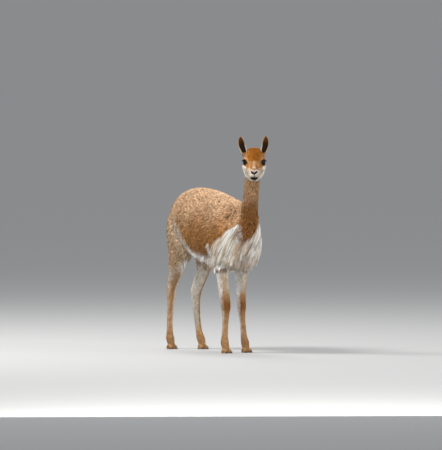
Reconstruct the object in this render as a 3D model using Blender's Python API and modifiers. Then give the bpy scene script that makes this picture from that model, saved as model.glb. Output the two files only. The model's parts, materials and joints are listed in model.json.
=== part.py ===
"""A life-size vicuna standing still, its head turned to its right.

Metres, +Z up, facing -Y, its left side at +X. The origin is on the floor, under the middle of the
bounding box. Every body form is a loft through named stations, the long chest hair is a set of
tapered locks grown in tiers from the chest, and the nodes are parted by thin cuts.
"""

import math
import random

import bmesh
import bpy
from mathutils import Matrix, Vector
from mathutils.bvhtree import BVHTree

# Driving sizes, in metres
GAP = 0.0003
WELD = 0.000006
CENTRE_SHIFT = Vector((0.0, 0.0875, 0.0))
WITHERS_HEIGHT = 0.853

# Torso stations: y, top, bottom, half width, height of the widest point
TORSO = (
    (-0.405, 0.640, 0.555, 0.030, 0.597),
    (-0.392, 0.685, 0.520, 0.064, 0.592),
    (-0.345, 0.756, 0.483, 0.100, 0.596),
    (-0.290, 0.806, 0.466, 0.127, 0.616),
    (-0.230, 0.838, 0.459, 0.144, 0.632),
    (-0.170, WITHERS_HEIGHT, 0.458, 0.152, 0.638),
    (-0.100, 0.868, 0.461, 0.160, 0.643),
    (-0.020, 0.883, 0.474, 0.167, 0.654),
    (0.060, 0.893, 0.500, 0.168, 0.670),
    (0.130, 0.897, 0.531, 0.162, 0.686),
    (0.200, 0.890, 0.557, 0.147, 0.692),
    (0.250, 0.876, 0.572, 0.132, 0.697),
    (0.300, 0.854, 0.588, 0.109, 0.703),
    (0.335, 0.824, 0.608, 0.082, 0.708),
    (0.360, 0.791, 0.639, 0.052, 0.714),
    (0.374, 0.751, 0.674, 0.022, 0.714),
)
# Leg stations: z, x outwards, y, half length along y, half width along x
HIND_RIGHT = (
    (0.790, 0.055, 0.230, 0.055, 0.030),
    (0.745, 0.072, 0.225, 0.082, 0.048),
    (0.700, 0.083, 0.215, 0.094, 0.055),
    (0.650, 0.090, 0.203, 0.096, 0.057),
    (0.600, 0.095, 0.192, 0.095, 0.055),
    (0.560, 0.099, 0.186, 0.091, 0.050),
    (0.520, 0.100, 0.190, 0.085, 0.045),
    (0.460, 0.097, 0.224, 0.068, 0.037),
    (0.400, 0.085, 0.272, 0.053, 0.029),
    (0.355, 0.074, 0.318, 0.045, 0.024),
    (0.328, 0.068, 0.341, 0.039, 0.0225),
    (0.298, 0.066, 0.345, 0.031, 0.022),
    (0.260, 0.066, 0.350, 0.0245, 0.019),
    (0.180, 0.068, 0.355, 0.0205, 0.0165),
    (0.100, 0.070, 0.356, 0.0200, 0.0160),
    (0.066, 0.071, 0.352, 0.0235, 0.0195),
    (0.040, 0.071, 0.343, 0.0225, 0.0185),
    (0.016, 0.071, 0.336, 0.0180, 0.0160),
)
HAM_RIGHT = (
    (0.760, 0.050, 0.268, 0.060, 0.038),
    (0.720, 0.058, 0.270, 0.074, 0.045),
    (0.670, 0.063, 0.268, 0.080, 0.046),
    (0.600, 0.066, 0.266, 0.078, 0.042),
    (0.540, 0.068, 0.264, 0.071, 0.036),
    (0.480, 0.072, 0.270, 0.059, 0.030),
    (0.420, 0.075, 0.287, 0.045, 0.024),
    (0.380, 0.072, 0.305, 0.033, 0.019),
)
HIND_LEFT = (
    (0.790, 0.055, 0.235, 0.055, 0.030),
    (0.745, 0.072, 0.232, 0.082, 0.048),
    (0.700, 0.083, 0.225, 0.094, 0.055),
    (0.650, 0.090, 0.213, 0.096, 0.057),
    (0.600, 0.095, 0.204, 0.092, 0.053),
    (0.560, 0.098, 0.200, 0.086, 0.048),
    (0.520, 0.097, 0.208, 0.078, 0.043),
    (0.460, 0.088, 0.243, 0.062, 0.034),
    (0.400, 0.079, 0.265, 0.056, 0.027),
    (0.348, 0.070, 0.288, 0.051, 0.023),
    (0.315, 0.066, 0.302, 0.046, 0.022),
    (0.285, 0.065, 0.303, 0.036, 0.021),
    (0.250, 0.065, 0.300, 0.028, 0.019),
    (0.180, 0.067, 0.293, 0.0215, 0.0165),
    (0.105, 0.070, 0.278, 0.0200, 0.0160),
    (0.068, 0.071, 0.262, 0.0235, 0.0195),
    (0.040, 0.071, 0.249, 0.0225, 0.0185),
    (0.016, 0.071, 0.240, 0.0180, 0.0160),
)
HAM_LEFT = (
    (0.760, 0.050, 0.268, 0.060, 0.038),
    (0.720, 0.058, 0.270, 0.074, 0.045),
    (0.670, 0.063, 0.266, 0.078, 0.045),
    (0.600, 0.068, 0.260, 0.070, 0.039),
    (0.540, 0.073, 0.257, 0.058, 0.031),
    (0.480, 0.078, 0.261, 0.048, 0.026),
    (0.420, 0.078, 0.272, 0.041, 0.022),
    (0.380, 0.076, 0.282, 0.033, 0.018),
)
FRONT_RIGHT = (
    (0.609, 0.096, -0.232, 0.0620, 0.0420),
    (0.550, 0.093, -0.235, 0.0600, 0.0400),
    (0.491, 0.086, -0.237, 0.0530, 0.0350),
    (0.442, 0.080, -0.238, 0.0460, 0.0295),
    (0.383, 0.072, -0.234, 0.0420, 0.0275),
    (0.334, 0.064, -0.230, 0.0370, 0.0265),
    (0.293, 0.058, -0.232, 0.0330, 0.0268),
    (0.257, 0.056, -0.237, 0.0300, 0.0255),
    (0.224, 0.056, -0.237, 0.0250, 0.0205),
    (0.182, 0.059, -0.239, 0.0195, 0.0170),
    (0.128, 0.064, -0.243, 0.0185, 0.0160),
    (0.086, 0.068, -0.247, 0.0195, 0.0165),
    (0.061, 0.071, -0.252, 0.0230, 0.0195),
    (0.037, 0.071, -0.260, 0.0225, 0.0185),
    (0.016, 0.071, -0.267, 0.0180, 0.0160),
)
FRONT_LEFT = (
    (0.609, 0.094, -0.200, 0.0620, 0.0420),
    (0.550, 0.092, -0.190, 0.0600, 0.0410),
    (0.491, 0.085, -0.180, 0.0550, 0.0380),
    (0.442, 0.079, -0.176, 0.0490, 0.0330),
    (0.383, 0.071, -0.185, 0.0420, 0.0285),
    (0.334, 0.063, -0.199, 0.0340, 0.0235),
    (0.293, 0.057, -0.212, 0.0290, 0.0225),
    (0.257, 0.055, -0.219, 0.0280, 0.0220),
    (0.224, 0.055, -0.220, 0.0240, 0.0190),
    (0.182, 0.059, -0.220, 0.0185, 0.0160),
    (0.128, 0.064, -0.221, 0.0180, 0.0152),
    (0.086, 0.068, -0.223, 0.0190, 0.0162),
    (0.061, 0.071, -0.227, 0.0230, 0.0195),
    (0.037, 0.071, -0.234, 0.0225, 0.0185),
    (0.016, 0.071, -0.241, 0.0180, 0.0160),
)
HIND_CUT_HEIGHT = 0.500
FRONT_CUT_HEIGHT = 0.462
FOOT_CUT_HEIGHT = 0.070

# Neck stations, from the chest up: centre y, centre z, half depth, half width
NECK = (
    (-0.262, 0.590, 0.1200, 0.1000),
    (-0.305, 0.630, 0.1180, 0.0920),
    (-0.345, 0.668, 0.0980, 0.0760),
    (-0.373, 0.705, 0.0780, 0.0610),
    (-0.391, 0.748, 0.0630, 0.0500),
    (-0.404, 0.800, 0.0530, 0.0450),
    (-0.415, 0.860, 0.0490, 0.0430),
    (-0.426, 0.925, 0.0470, 0.0425),
    (-0.434, 0.970, 0.0480, 0.0430),
    (-0.443, 1.010, 0.0480, 0.0440),
    (-0.452, 1.045, 0.0440, 0.0440),
    (-0.458, 1.068, 0.0300, 0.0300),
)
# Cutting planes: a point and the normal
NECK_CUT = (Vector((0.0, -0.395, 0.747)), Vector((0.0, -0.58, 0.81)))
CHEST_CUT = (Vector((0.0, -0.130, 0.455)), Vector((0.0, -0.72, -0.69)))

# The head has its own frame: origin midway between the eyes, -Y forwards
HEAD_PLACE = Vector((-0.023, -0.490, 1.052))
HEAD_TURN = math.radians(-30.0)
HEAD_NOD = math.radians(15.0)
# Head stations: forward, top, bottom, half width, height of the widest point
HEAD = (
    (-0.100, 0.016, -0.036, 0.018, -0.010),
    (-0.086, 0.044, -0.060, 0.041, -0.008),
    (-0.060, 0.067, -0.074, 0.055, -0.008),
    (-0.030, 0.074, -0.080, 0.0615, -0.012),
    (-0.004, 0.063, -0.081, 0.0635, -0.018),
    (0.020, 0.045, -0.079, 0.0575, -0.026),
    (0.044, 0.029, -0.076, 0.047, -0.034),
    (0.068, 0.016, -0.074, 0.037, -0.040),
    (0.090, 0.005, -0.074, 0.031, -0.042),
    (0.106, -0.003, -0.072, 0.0280, -0.044),
    (0.116, -0.010, -0.065, 0.023, -0.042),
    (0.122, -0.020, -0.054, 0.013, -0.038),
)
EYE_PLACE = Vector((0.0415, -0.010, 0.004))
EYE_RADIUS = 0.0175
LID_THICKNESS = 0.0030
EAR_LENGTH = 0.110
EAR_HALF_WIDTH = 0.0185
EAR_WALL = 0.0030
EAR_ROOT = Vector((0.0375, 0.034, 0.030))
EAR_LEANS = ((-1, 22.0), (1, 16.0))

# Foot sizes
TOE_SPREAD = 0.0118
TOE_HALF_WIDTH = 0.0112
TOE_LENGTH = 0.040
HEEL_BEHIND = 0.015
NAIL_LENGTH = 0.014
NAIL_HALF_WIDTH = 0.0064

# Chest hair: tiers of locks, each with its root height at the middle and sides, count and length
BIB_TIERS = (
    # front height, side height, side y, locks, lock length
    (0.690, 0.735, -0.300, 12, 0.130),
    (0.650, 0.690, -0.270, 13, 0.145),
    (0.605, 0.640, -0.245, 13, 0.145),
    (0.560, 0.590, -0.235, 13, 0.130),
    (0.520, 0.548, -0.230, 12, 0.105),
)
BIB_LOCK_WIDTH = 0.041
BIB_LOCK_DEPTH = 0.0085
BIB_LOCK_STEPS = 4

COLOURS = {
    # name: (linear colour, roughness)
    "cinnamon_wool": ((0.42, 0.22, 0.10), 0.90),
    "neck_wool": ((0.30, 0.16, 0.075), 0.90),
    "white_hair": ((0.76, 0.74, 0.69), 0.85),
    "face_hair": ((0.36, 0.17, 0.06), 0.85),
    "leg_hair": ((0.45, 0.29, 0.16), 0.85),
    "horn": ((0.05, 0.04, 0.035), 0.45),
    "eye": ((0.012, 0.008, 0.006), 0.08),
}


def clear_scene():
    for old in list(bpy.data.objects):
        bpy.data.objects.remove(old, do_unlink=True)


def material(name):
    found = bpy.data.materials.get(name)
    if found:
        return found
    colour, roughness = COLOURS[name]
    made = bpy.data.materials.new(name)
    made.use_nodes = True
    shader = made.node_tree.nodes["Principled BSDF"]
    shader.inputs["Base Color"].default_value = (*colour, 1.0)
    shader.inputs["Roughness"].default_value = roughness
    shader.inputs["Metallic"].default_value = 0.0
    return made


def new_object(name, mesh, collection):
    made = bpy.data.objects.new(name, mesh)
    collection.objects.link(made)
    return made


def through(stations, at):
    """A row of values at one place along stations sorted by their first value, on a smooth cubic."""
    rows = sorted(stations)
    at = min(max(at, rows[0][0]), rows[-1][0])
    i = max(k for k in range(len(rows) - 1) if rows[k][0] <= at + 1e-12)
    a, b = rows[i], rows[i + 1]
    before, after = rows[max(i - 1, 0)], rows[min(i + 2, len(rows) - 1)]
    span = b[0] - a[0]
    s = (at - a[0]) / span
    found = []
    for k in range(1, len(a)):
        slope_a = (b[k] - before[k]) / (b[0] - before[0])
        slope_b = (after[k] - a[k]) / (after[0] - a[0])
        found.append(
            (2 * s**3 - 3 * s**2 + 1) * a[k]
            + (s**3 - 2 * s**2 + s) * slope_a * span
            + (3 * s**2 - 2 * s**3) * b[k]
            + (s**3 - s**2) * slope_b * span
        )
    return found


def loft(name, rings, collection):
    """A closed mesh through rings of like point counts, each end capped by one face."""
    count = len(rings[0])
    points = [tuple(p) for ring in rings for p in ring]
    faces = []
    for r in range(len(rings) - 1):
        for k in range(count):
            n = (k + 1) % count
            faces.append((r * count + k, r * count + n, (r + 1) * count + n, (r + 1) * count + k))
    faces.append(tuple(reversed(range(count))))
    last = (len(rings) - 1) * count
    faces.append(tuple(range(last, last + count)))
    mesh = bpy.data.meshes.new(name)
    mesh.from_pydata(points, [], faces)
    point_outwards(mesh)
    return new_object(name, mesh, collection)


def point_outwards(mesh):
    shape = bmesh.new()
    shape.from_mesh(mesh)
    bmesh.ops.recalc_face_normals(shape, faces=shape.faces)
    if shape.calc_volume(signed=True) < 0:
        bmesh.ops.reverse_faces(shape, faces=shape.faces)
    shape.to_mesh(mesh)
    shape.free()


def egg_ring(top, bottom, half, wide_at, count, upper=1.0, lower=1.0):
    """An upright egg-shaped section as (x, z) pairs; powers under 1 fill its corners."""
    ring = []
    for k in range(count):
        turn = 2 * math.pi * k / count
        side, up = math.cos(turn), math.sin(turn)
        x = half * math.copysign(abs(side) ** (upper if up > 0 else lower), side)
        reach = (top - wide_at) if up > 0 else (wide_at - bottom)
        ring.append((x, wide_at + reach * up))
    return ring


def ellipse(centre, along, across, a, b, count):
    ring = []
    for k in range(count):
        turn = 2 * math.pi * k / count
        ring.append(centre + along * (a * math.cos(turn)) + across * (b * math.sin(turn)))
    return ring


def ball(name, centre, radii, collection, turn=None, segments=12, rings=8):
    """An ellipsoid from a UV sphere."""
    mesh = bpy.data.meshes.new(name)
    shape = bmesh.new()
    bmesh.ops.create_uvsphere(shape, u_segments=segments, v_segments=rings, radius=1.0)
    place = Matrix.Translation(centre) @ (turn or Matrix.Identity(4)) @ Matrix.Diagonal((*radii, 1.0))
    bmesh.ops.transform(shape, matrix=place, verts=shape.verts)
    shape.to_mesh(mesh)
    shape.free()
    return new_object(name, mesh, collection)


def evaluated_mesh(obj):
    bpy.context.view_layer.update()
    graph = bpy.context.evaluated_depsgraph_get()
    return bpy.data.meshes.new_from_object(obj.evaluated_get(graph))


def flip_shared_diagonals(shape):
    """Where two flat faces were split along one and the same line, splits the first the other way."""
    for _ in range(6):
        shared = [e for e in shape.edges if len(e.link_faces) == 4]
        if not shared:
            return
        for edge in shared:
            if not edge.is_valid or len(edge.link_faces) != 4:
                continue
            flip_flattest_pair(shape, edge)
    return


def flip_flattest_pair(shape, edge):
    faces = list(edge.link_faces)
    pairs = [(faces[i].normal.dot(faces[j].normal), i, j) for i in range(4) for j in range(i + 1, 4)]
    for _, i, j in sorted(pairs, reverse=True):
        one, two = faces[i], faces[j]
        a, b = edge.verts
        c = next(v for v in one.verts if v not in (a, b))
        d = next(v for v in two.verts if v not in (a, b))
        loop_one = [v for v in one.verts]
        forwards = loop_one[(loop_one.index(a) + 1) % 3] is b
        if c is d or shape.edges.get((c, d)):
            continue
        if not forwards:
            a, b = b, a
        # One runs a, b, c and two runs b, a, d
        bmesh.ops.delete(shape, geom=[one, two], context="FACES_ONLY")
        shape.faces.new((a, d, c))
        shape.faces.new((d, b, c))
        shape.normal_update()
        return


def islands_of(shape):
    """Sets of faces joined by edges that have just two faces, the one with the most volume first."""
    unseen = set(shape.faces)
    islands = []
    while unseen:
        queue = [unseen.pop()]
        island = list(queue)
        while queue:
            for edge in queue.pop().edges:
                if len(edge.link_faces) != 2:
                    continue
                for face in edge.link_faces:
                    if face in unseen:
                        unseen.remove(face)
                        queue.append(face)
                        island.append(face)
        volume = 0.0
        for face in island:
            a, b, c = (v.co for v in face.verts)
            volume += a.dot(b.cross(c)) / 6
        islands.append((abs(volume), len(islands), island))
    islands.sort(key=lambda row: row[0], reverse=True)
    return [island for _, _, island in islands]


def keep_largest(mesh):
    """Welds what is closer than a few microns and leaves the one closed surface with the most volume."""
    shape = bmesh.new()
    shape.from_mesh(mesh)
    bmesh.ops.remove_doubles(shape, verts=shape.verts, dist=WELD)
    bmesh.ops.dissolve_degenerate(shape, edges=shape.edges, dist=WELD)
    bmesh.ops.triangulate(shape, faces=shape.faces)
    for island in islands_of(shape)[1:]:
        bmesh.ops.delete(shape, geom=island, context="FACES")
    rim = [e for e in shape.edges if e.is_boundary]
    if rim:
        filled = bmesh.ops.holes_fill(shape, edges=rim, sides=0)["faces"]
        bmesh.ops.triangulate(shape, faces=filled)
    flip_shared_diagonals(shape)
    shape.to_mesh(mesh)
    shape.free()


def apply_boolean(base, others, operation, solver, one_piece=True):
    """Joins or cuts base by a set of closed objects, which are then removed."""
    group = bpy.data.collections.new("working")
    bpy.context.scene.collection.children.link(group)
    for other in others:
        for user in list(other.users_collection):
            user.objects.unlink(other)
        group.objects.link(other)
    modifier = base.modifiers.new("joined", "BOOLEAN")
    modifier.operation = operation
    modifier.operand_type = "COLLECTION"
    modifier.collection = group
    modifier.solver = solver
    result = evaluated_mesh(base)
    base.modifiers.clear()
    old = base.data
    base.data = result
    bpy.data.meshes.remove(old)
    if one_piece:
        keep_largest(base.data)
    for other in list(group.objects):
        bpy.data.objects.remove(other, do_unlink=True)
    bpy.data.collections.remove(group)


def bisected(obj, place, normal, keep_upper):
    """Cuts a closed object by a plane, half a gap away from it, and closes the cut."""
    normal = normal.normalized()
    side = 1 if keep_upper else -1
    shape = bmesh.new()
    shape.from_mesh(obj.data)
    bmesh.ops.bisect_plane(
        shape,
        geom=shape.verts[:] + shape.edges[:] + shape.faces[:],
        dist=1e-6,
        plane_co=place + normal * (GAP / 2 * side),
        plane_no=normal,
        clear_outer=not keep_upper,
        clear_inner=keep_upper,
    )
    rim = [e for e in shape.edges if e.is_boundary]
    bmesh.ops.holes_fill(shape, edges=rim, sides=0)
    bmesh.ops.recalc_face_normals(shape, faces=shape.faces)
    shape.to_mesh(obj.data)
    shape.free()
    keep_largest(obj.data)


def copy_of(obj, name, collection):
    return new_object(name, obj.data.copy(), collection)


def grown_copy(obj, name, collection, by=GAP):
    """A copy swollen by the gap, to cut a neighbour with."""
    made = copy_of(obj, name, collection)
    modifier = made.modifiers.new("swollen", "DISPLACE")
    modifier.strength = by * 1.2
    modifier.mid_level = 0.0
    mesh = evaluated_mesh(made)
    made.modifiers.clear()
    made.data = mesh
    return made


# Body forms

TORSO_RINGS = 22
TORSO_POINTS = 22
LEG_POINTS = 12
NECK_RINGS = 14
NECK_POINTS = 16


def torso_form(collection):
    first, last = TORSO[0][0], TORSO[-1][0]
    rings = []
    for k in range(TORSO_RINGS):
        # Rings stand closer together at the rounded ends
        share = 0.5 - 0.5 * math.cos(math.pi * k / (TORSO_RINGS - 1))
        share = 0.6 * share + 0.4 * k / (TORSO_RINGS - 1)
        y = first + (last - first) * share
        top, bottom, half, wide_at = through(TORSO, y)
        section = egg_ring(top, bottom, half, wide_at, TORSO_POINTS, 0.92, 0.92)
        rings.append([Vector((x, y, z)) for x, z in section])
    return loft("torso", rings, collection)


def leg_form(name, stations, ham, side, collection, working):
    """side is -1 for the right legs and 1 for the left ones; a hind leg has a ham behind the thigh."""
    made = limb(name, stations, side, collection)
    if ham:
        apply_boolean(made, [limb("ham", ham, side, working)], "UNION", "MANIFOLD")
    return made


def limb(name, stations, side, collection):
    rings = []
    for z, out, y, half_long, half_wide in stations:
        centre = Vector((side * out, y, z))
        along, across = Vector((0, 1, 0)), Vector((1, 0, 0))
        rings.append(ellipse(centre, along, across, half_long, half_wide, LEG_POINTS))
    return loft(name, rings, collection)


def neck_form(collection):
    """Rings square to the neck's own curve."""
    heights = [row[1] for row in NECK]
    by_height = [(row[1], row[0], row[2], row[3]) for row in NECK]
    rings = []
    for k in range(NECK_RINGS):
        z = heights[0] + (heights[-1] - heights[0]) * k / (NECK_RINGS - 1)
        y, deep, wide = through(by_height, z)
        ahead = through(by_height, z + 0.004)[0] - through(by_height, z - 0.004)[0]
        tangent = Vector((0, ahead, 0.008)).normalized()
        forwards = Vector((1, 0, 0)).cross(tangent).normalized()
        centre = Vector((0, y, z))
        rings.append(ellipse(centre, forwards, Vector((1, 0, 0)), deep, wide, NECK_POINTS))
    return loft("neck", rings, collection)


# The head

HEAD_RINGS = 17
HEAD_POINTS = 18


def head_matrix():
    turn = Matrix.Rotation(HEAD_TURN, 4, "Z") @ Matrix.Rotation(HEAD_NOD, 4, "X")
    return Matrix.Translation(HEAD_PLACE) @ turn


def head_form(collection):
    first, last = HEAD[0][0], HEAD[-1][0]
    rings = []
    for k in range(HEAD_RINGS):
        share = 0.5 - 0.5 * math.cos(math.pi * k / (HEAD_RINGS - 1))
        share = 0.5 * share + 0.5 * k / (HEAD_RINGS - 1)
        forward = first + (last - first) * share
        top, bottom, half, wide_at = through(HEAD, forward)
        section = egg_ring(top, bottom, half, wide_at, HEAD_POINTS, 0.80, 0.72)
        rings.append([Vector((x, -forward, z)) for x, z in section])
    return loft("head", rings, collection)


def eye_matrix(side):
    """The eye's own frame, its +Z looking out and a little forwards."""
    look = Vector((side * 0.72, -0.69, 0.03)).normalized()
    up = Vector((0, 0, 1))
    across = up.cross(look).normalized()
    up = look.cross(across)
    turn = Matrix((across, up, look)).transposed().to_4x4()
    centre = Vector((side * EYE_PLACE.x, EYE_PLACE.y, EYE_PLACE.z))
    return Matrix.Translation(centre) @ turn


def lid_opening(side, collection):
    """An almond-shaped prism that opens the lids in front of the eye."""
    half_long, half_high = 0.0145, 0.0098
    points = []
    for k in range(14):
        turn = 2 * math.pi * k / 14
        reach = half_high * math.copysign(abs(math.sin(turn)) ** 1.3, math.sin(turn))
        points.append(Vector((half_long * math.cos(turn), reach, 0)))
    place = eye_matrix(side)
    near = [place @ (p + Vector((0, 0, EYE_RADIUS * 0.45))) for p in points]
    far = [place @ (p * 1.25 + Vector((0, 0, EYE_RADIUS * 1.8))) for p in points]
    return loft("lid_opening", [near, far], collection)


def mouth_cutter(collection):
    """A thin bent slot along the line of the mouth."""
    rings = []
    for k in range(9):
        turn = math.radians(-100 + 200 * k / 8)
        # A horseshoe round the muzzle seen from above
        x = 0.033 * math.sin(turn)
        forward = 0.060 + 0.066 * math.cos(turn)
        z = -0.0515 + 0.010 * (1 - math.cos(turn))
        outwards = Vector((math.sin(turn), -math.cos(turn), 0))
        centre = Vector((x, -forward, z))
        up = Vector((0, 0, 1))
        corners = ((0.012, 0.0016), (-0.010, 0.0008), (-0.010, -0.0008), (0.012, -0.0016))
        rings.append([centre + outwards * a + up * b for a, b in corners])
    return loft("mouth_cutter", rings, collection)


# Soft forms on one side of the face: name, place, radii, degrees about Z
FACE_FORMS = (
    ("brow", (0.0425, -0.004, 0.0215), (0.0135, 0.025, 0.0085), -16),
    ("cheek", (0.035, 0.012, -0.036), (0.024, 0.040, 0.030), 0),
    ("lip", (0.0105, -0.1085, -0.0385), (0.0155, 0.0165, 0.0125), 0),
    ("nostril_rim", (0.0105, -0.1125, -0.021), (0.0095, 0.0105, 0.0085), 0),
)
NOSTRIL = ((0.0092, -0.1235, -0.0225), (0.0080, 0.0090, 0.0030))


def lip_cleft(working):
    """The short upright slot between the nostrils and the mouth."""
    corners = ((-0.0008, -0.047), (0.0008, -0.047), (0.0008, -0.029), (-0.0008, -0.029))
    front = [Vector((x, -0.130, z)) for x, z in corners]
    return loft("lip_cleft", [front, [p + Vector((0, 0.012, 0)) for p in front]], working)


def make_head(nodes, working):
    head = head_form(nodes)
    added, cuts = [], []
    for side in (-1, 1):
        for name, place, radii, degrees in FACE_FORMS:
            centre = Vector((side * place[0], place[1], place[2]))
            turn = Matrix.Rotation(math.radians(degrees * side), 4, "Z")
            added.append(ball(name, centre, radii, working, turn))
        eye = eye_matrix(side)
        lids = EYE_RADIUS + LID_THICKNESS
        added.append(ball("lids", eye.translation, (lids,) * 3, working, None, 14, 10))
        socket = EYE_RADIUS + GAP
        cuts.append(ball("socket", eye.translation, (socket,) * 3, working, None, 16, 10))
        cuts.append(lid_opening(side, working))
        place, radii = NOSTRIL
        slant = Matrix.Rotation(math.radians(38 * side), 4, "Y")
        slant = slant @ Matrix.Rotation(math.radians(-30 * side), 4, "Z")
        centre = Vector((side * place[0], place[1], place[2]))
        cuts.append(ball("nostril", centre, radii, working, slant, 10, 8))
    chin = ball("chin", Vector((0, -0.0985, -0.0625)), (0.0165, 0.0165, 0.0115), working)
    apply_boolean(head, [*added, chin], "UNION", "MANIFOLD")
    apply_boolean(head, [*cuts, mouth_cutter(working), lip_cleft(working)], "DIFFERENCE", "MANIFOLD")
    head.data.transform(head_matrix())
    for side, word in ((-1, "right"), (1, "left")):
        centre = eye_matrix(side).translation
        made = ball("eye_" + word, centre, (EYE_RADIUS,) * 3, nodes, None, 16, 10)
        made.data.transform(head_matrix())
    return head


def make_ear(side, lean_out, nodes):
    """A leaf-shaped cup, open forwards, as an open surface with a wall."""
    rows, columns = 12, 9
    points, faces = [], []
    for r in range(rows):
        s = r / (rows - 1)
        # Half width swells above the root and runs to a point that bends inwards
        swell = 0.42 + 1.30 * s - 0.52 * s**2
        half = EAR_HALF_WIDTH * swell * max(1 - s**2.6, 0.0) ** 0.62 + 0.0010
        bend = 2.30 * (1 - 0.70 * s**0.8)
        spine_x = side * (-0.004 * s**2.2 + 0.005 * math.sin(math.pi * s))
        spine_y = 0.006 * math.sin(math.pi * s)
        for c in range(columns):
            across = -1 + 2 * c / (columns - 1)
            turn = across * bend
            radius = half / max(math.sin(min(bend, math.pi / 2)), 0.2)
            x = spine_x + radius * math.sin(turn)
            y = spine_y + radius * (math.cos(turn) - 1)
            points.append((x, y, s * EAR_LENGTH))
    for r in range(rows - 1):
        for c in range(columns - 1):
            a = r * columns + c
            faces.append((a, a + 1, a + columns + 1, a + columns))
    name = "ear_left" if side > 0 else "ear_right"
    mesh = bpy.data.meshes.new(name)
    mesh.from_pydata(points, [], faces)
    made = new_object(name, mesh, nodes)
    wall = made.modifiers.new("wall", "SOLIDIFY")
    wall.thickness = EAR_WALL
    wall.offset = 0.0
    made.data = evaluated_mesh(made)
    made.modifiers.clear()
    point_outwards(made.data)
    spin = Matrix.Rotation(math.radians(18 * side), 4, "Z")
    tip_out = Matrix.Rotation(math.radians(lean_out) * side, 4, "Y")
    tip_back = Matrix.Rotation(math.radians(-6), 4, "X")
    root = Vector((side * EAR_ROOT.x, EAR_ROOT.y, EAR_ROOT.z))
    made.data.transform(Matrix.Translation(root) @ tip_out @ tip_back @ spin)
    made.data.transform(head_matrix())
    return made


# Feet

def toe_ring(y, half, low, high, x, count=8):
    """An upright D-shaped section: flat below, round above."""
    ring = []
    for k in range(count):
        turn = 2 * math.pi * k / count
        side, up = math.cos(turn), math.sin(turn)
        rise = (high - low) * 0.42
        reach = (high - low - rise) * up if up > 0 else rise * max(up * 1.6, -1.0)
        z = low + rise + reach
        ring.append(Vector((x + half * side, y, z)))
    return ring


def make_toe(x, heel_y, lean, collection):
    """lean turns the toe outwards a little."""
    shape = (
        # share of the length, half width, height of the top
        (0.00, 0.55, 0.018),
        (0.12, 0.88, 0.026),
        (0.35, 1.00, 0.030),
        (0.62, 0.98, 0.024),
        (0.85, 0.84, 0.018),
        (1.00, 0.50, 0.012),
    )
    rings = []
    for share, half, high in shape:
        y = heel_y - TOE_LENGTH * share
        rings.append(toe_ring(y, TOE_HALF_WIDTH * half, 0.0, high, x + lean * share))
    return loft("toe", rings, collection)


def make_nail(name, x, heel_y, lean, collection):
    """A blunt horn claw ahead of the toe, a gap clear of it."""
    shape = (
        (0.00, 0.72, 0.0110),
        (0.25, 1.00, 0.0125),
        (0.60, 0.80, 0.0090),
        (0.88, 0.42, 0.0055),
        (1.00, 0.16, 0.0030),
    )
    start = heel_y - TOE_LENGTH - GAP
    rings = []
    for share, half, high in shape:
        y = start - NAIL_LENGTH * share
        low = 0.0006 + 0.0008 * (1 - share)
        rings.append(toe_ring(y, NAIL_HALF_WIDTH * half, low, high, x + lean * (1 + 0.3 * share), 8))
    return loft(name, rings, collection)


def make_leg(word, stations, ham, side, cut_height, nodes, working):
    """One leg from the body down to the fetlock, its foot with two toes, and their nails."""
    whole = leg_form("leg_" + word, stations, ham, side, nodes, working)
    stub = copy_of(whole, "stub", working)
    foot = copy_of(whole, "foot_" + word, nodes)
    up = Vector((0, 0, 1))
    bisected(stub, up * cut_height, up, True)
    bisected(whole, up * cut_height, up, False)
    bisected(whole, up * FOOT_CUT_HEIGHT, up, True)
    bisected(foot, up * FOOT_CUT_HEIGHT, up, False)
    heel_y = stations[-1][2] + HEEL_BEHIND
    toes = []
    for way, place in ((-1, "inner"), (1, "outer")):
        x = side * stations[-1][1] + side * way * TOE_SPREAD
        lean = side * way * 0.003
        toes.append(make_toe(x, heel_y, lean, working))
        make_nail(f"nail_{word}_{place}", x, heel_y, lean, nodes)
    apply_boolean(foot, toes, "UNION", "MANIFOLD")
    return whole, stub


# Hair locks

class Body:
    """One closed surface, to lay locks along."""

    def __init__(self, obj):
        shape = bmesh.new()
        shape.from_mesh(obj.data)
        self.tree = BVHTree.FromBMesh(shape)
        shape.free()

    def nearest(self, point):
        """The nearest surface point, its normal and the distance, which is below 0 inside."""
        spot, normal, _, _ = self.tree.find_nearest(point)
        away = point - spot
        return spot, normal, math.copysign(away.length, away.dot(normal))


def lay_path(body, root, flow, length, lift, steps):
    """The middle line of a lock: from under the skin, along the surface, then hanging free."""
    spot, normal, _ = body.nearest(root)
    out = normal.copy()
    path = [(spot - normal * 0.010, out.copy())]
    point = spot + normal * 0.002
    step = length / steps
    for k in range(1, steps + 1):
        share = k / steps
        along = flow.lerp(Vector((0, 0, -1)), 0.20 + 0.50 * share)
        against = along.dot(normal)
        if against < 0 or normal.z > -0.35:
            along = along - normal * against
        point = point + along.normalized() * step
        spot, normal, distance = body.nearest(point)
        wanted = 0.004 + lift * math.sin(math.pi * min(share * 0.62, 1.0))
        if distance < wanted:
            point = point + normal * (wanted - distance)
        elif normal.z > -0.20:
            point = point + normal * (wanted - distance) * 0.6
        # The flat side keeps facing outwards where the lock leaves the body
        level = Vector((normal.x, normal.y, 0))
        if level.length > 0.3:
            out = out.lerp(level.normalized(), 0.5).normalized()
        path.append((point.copy(), out.copy()))
    return path


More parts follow.
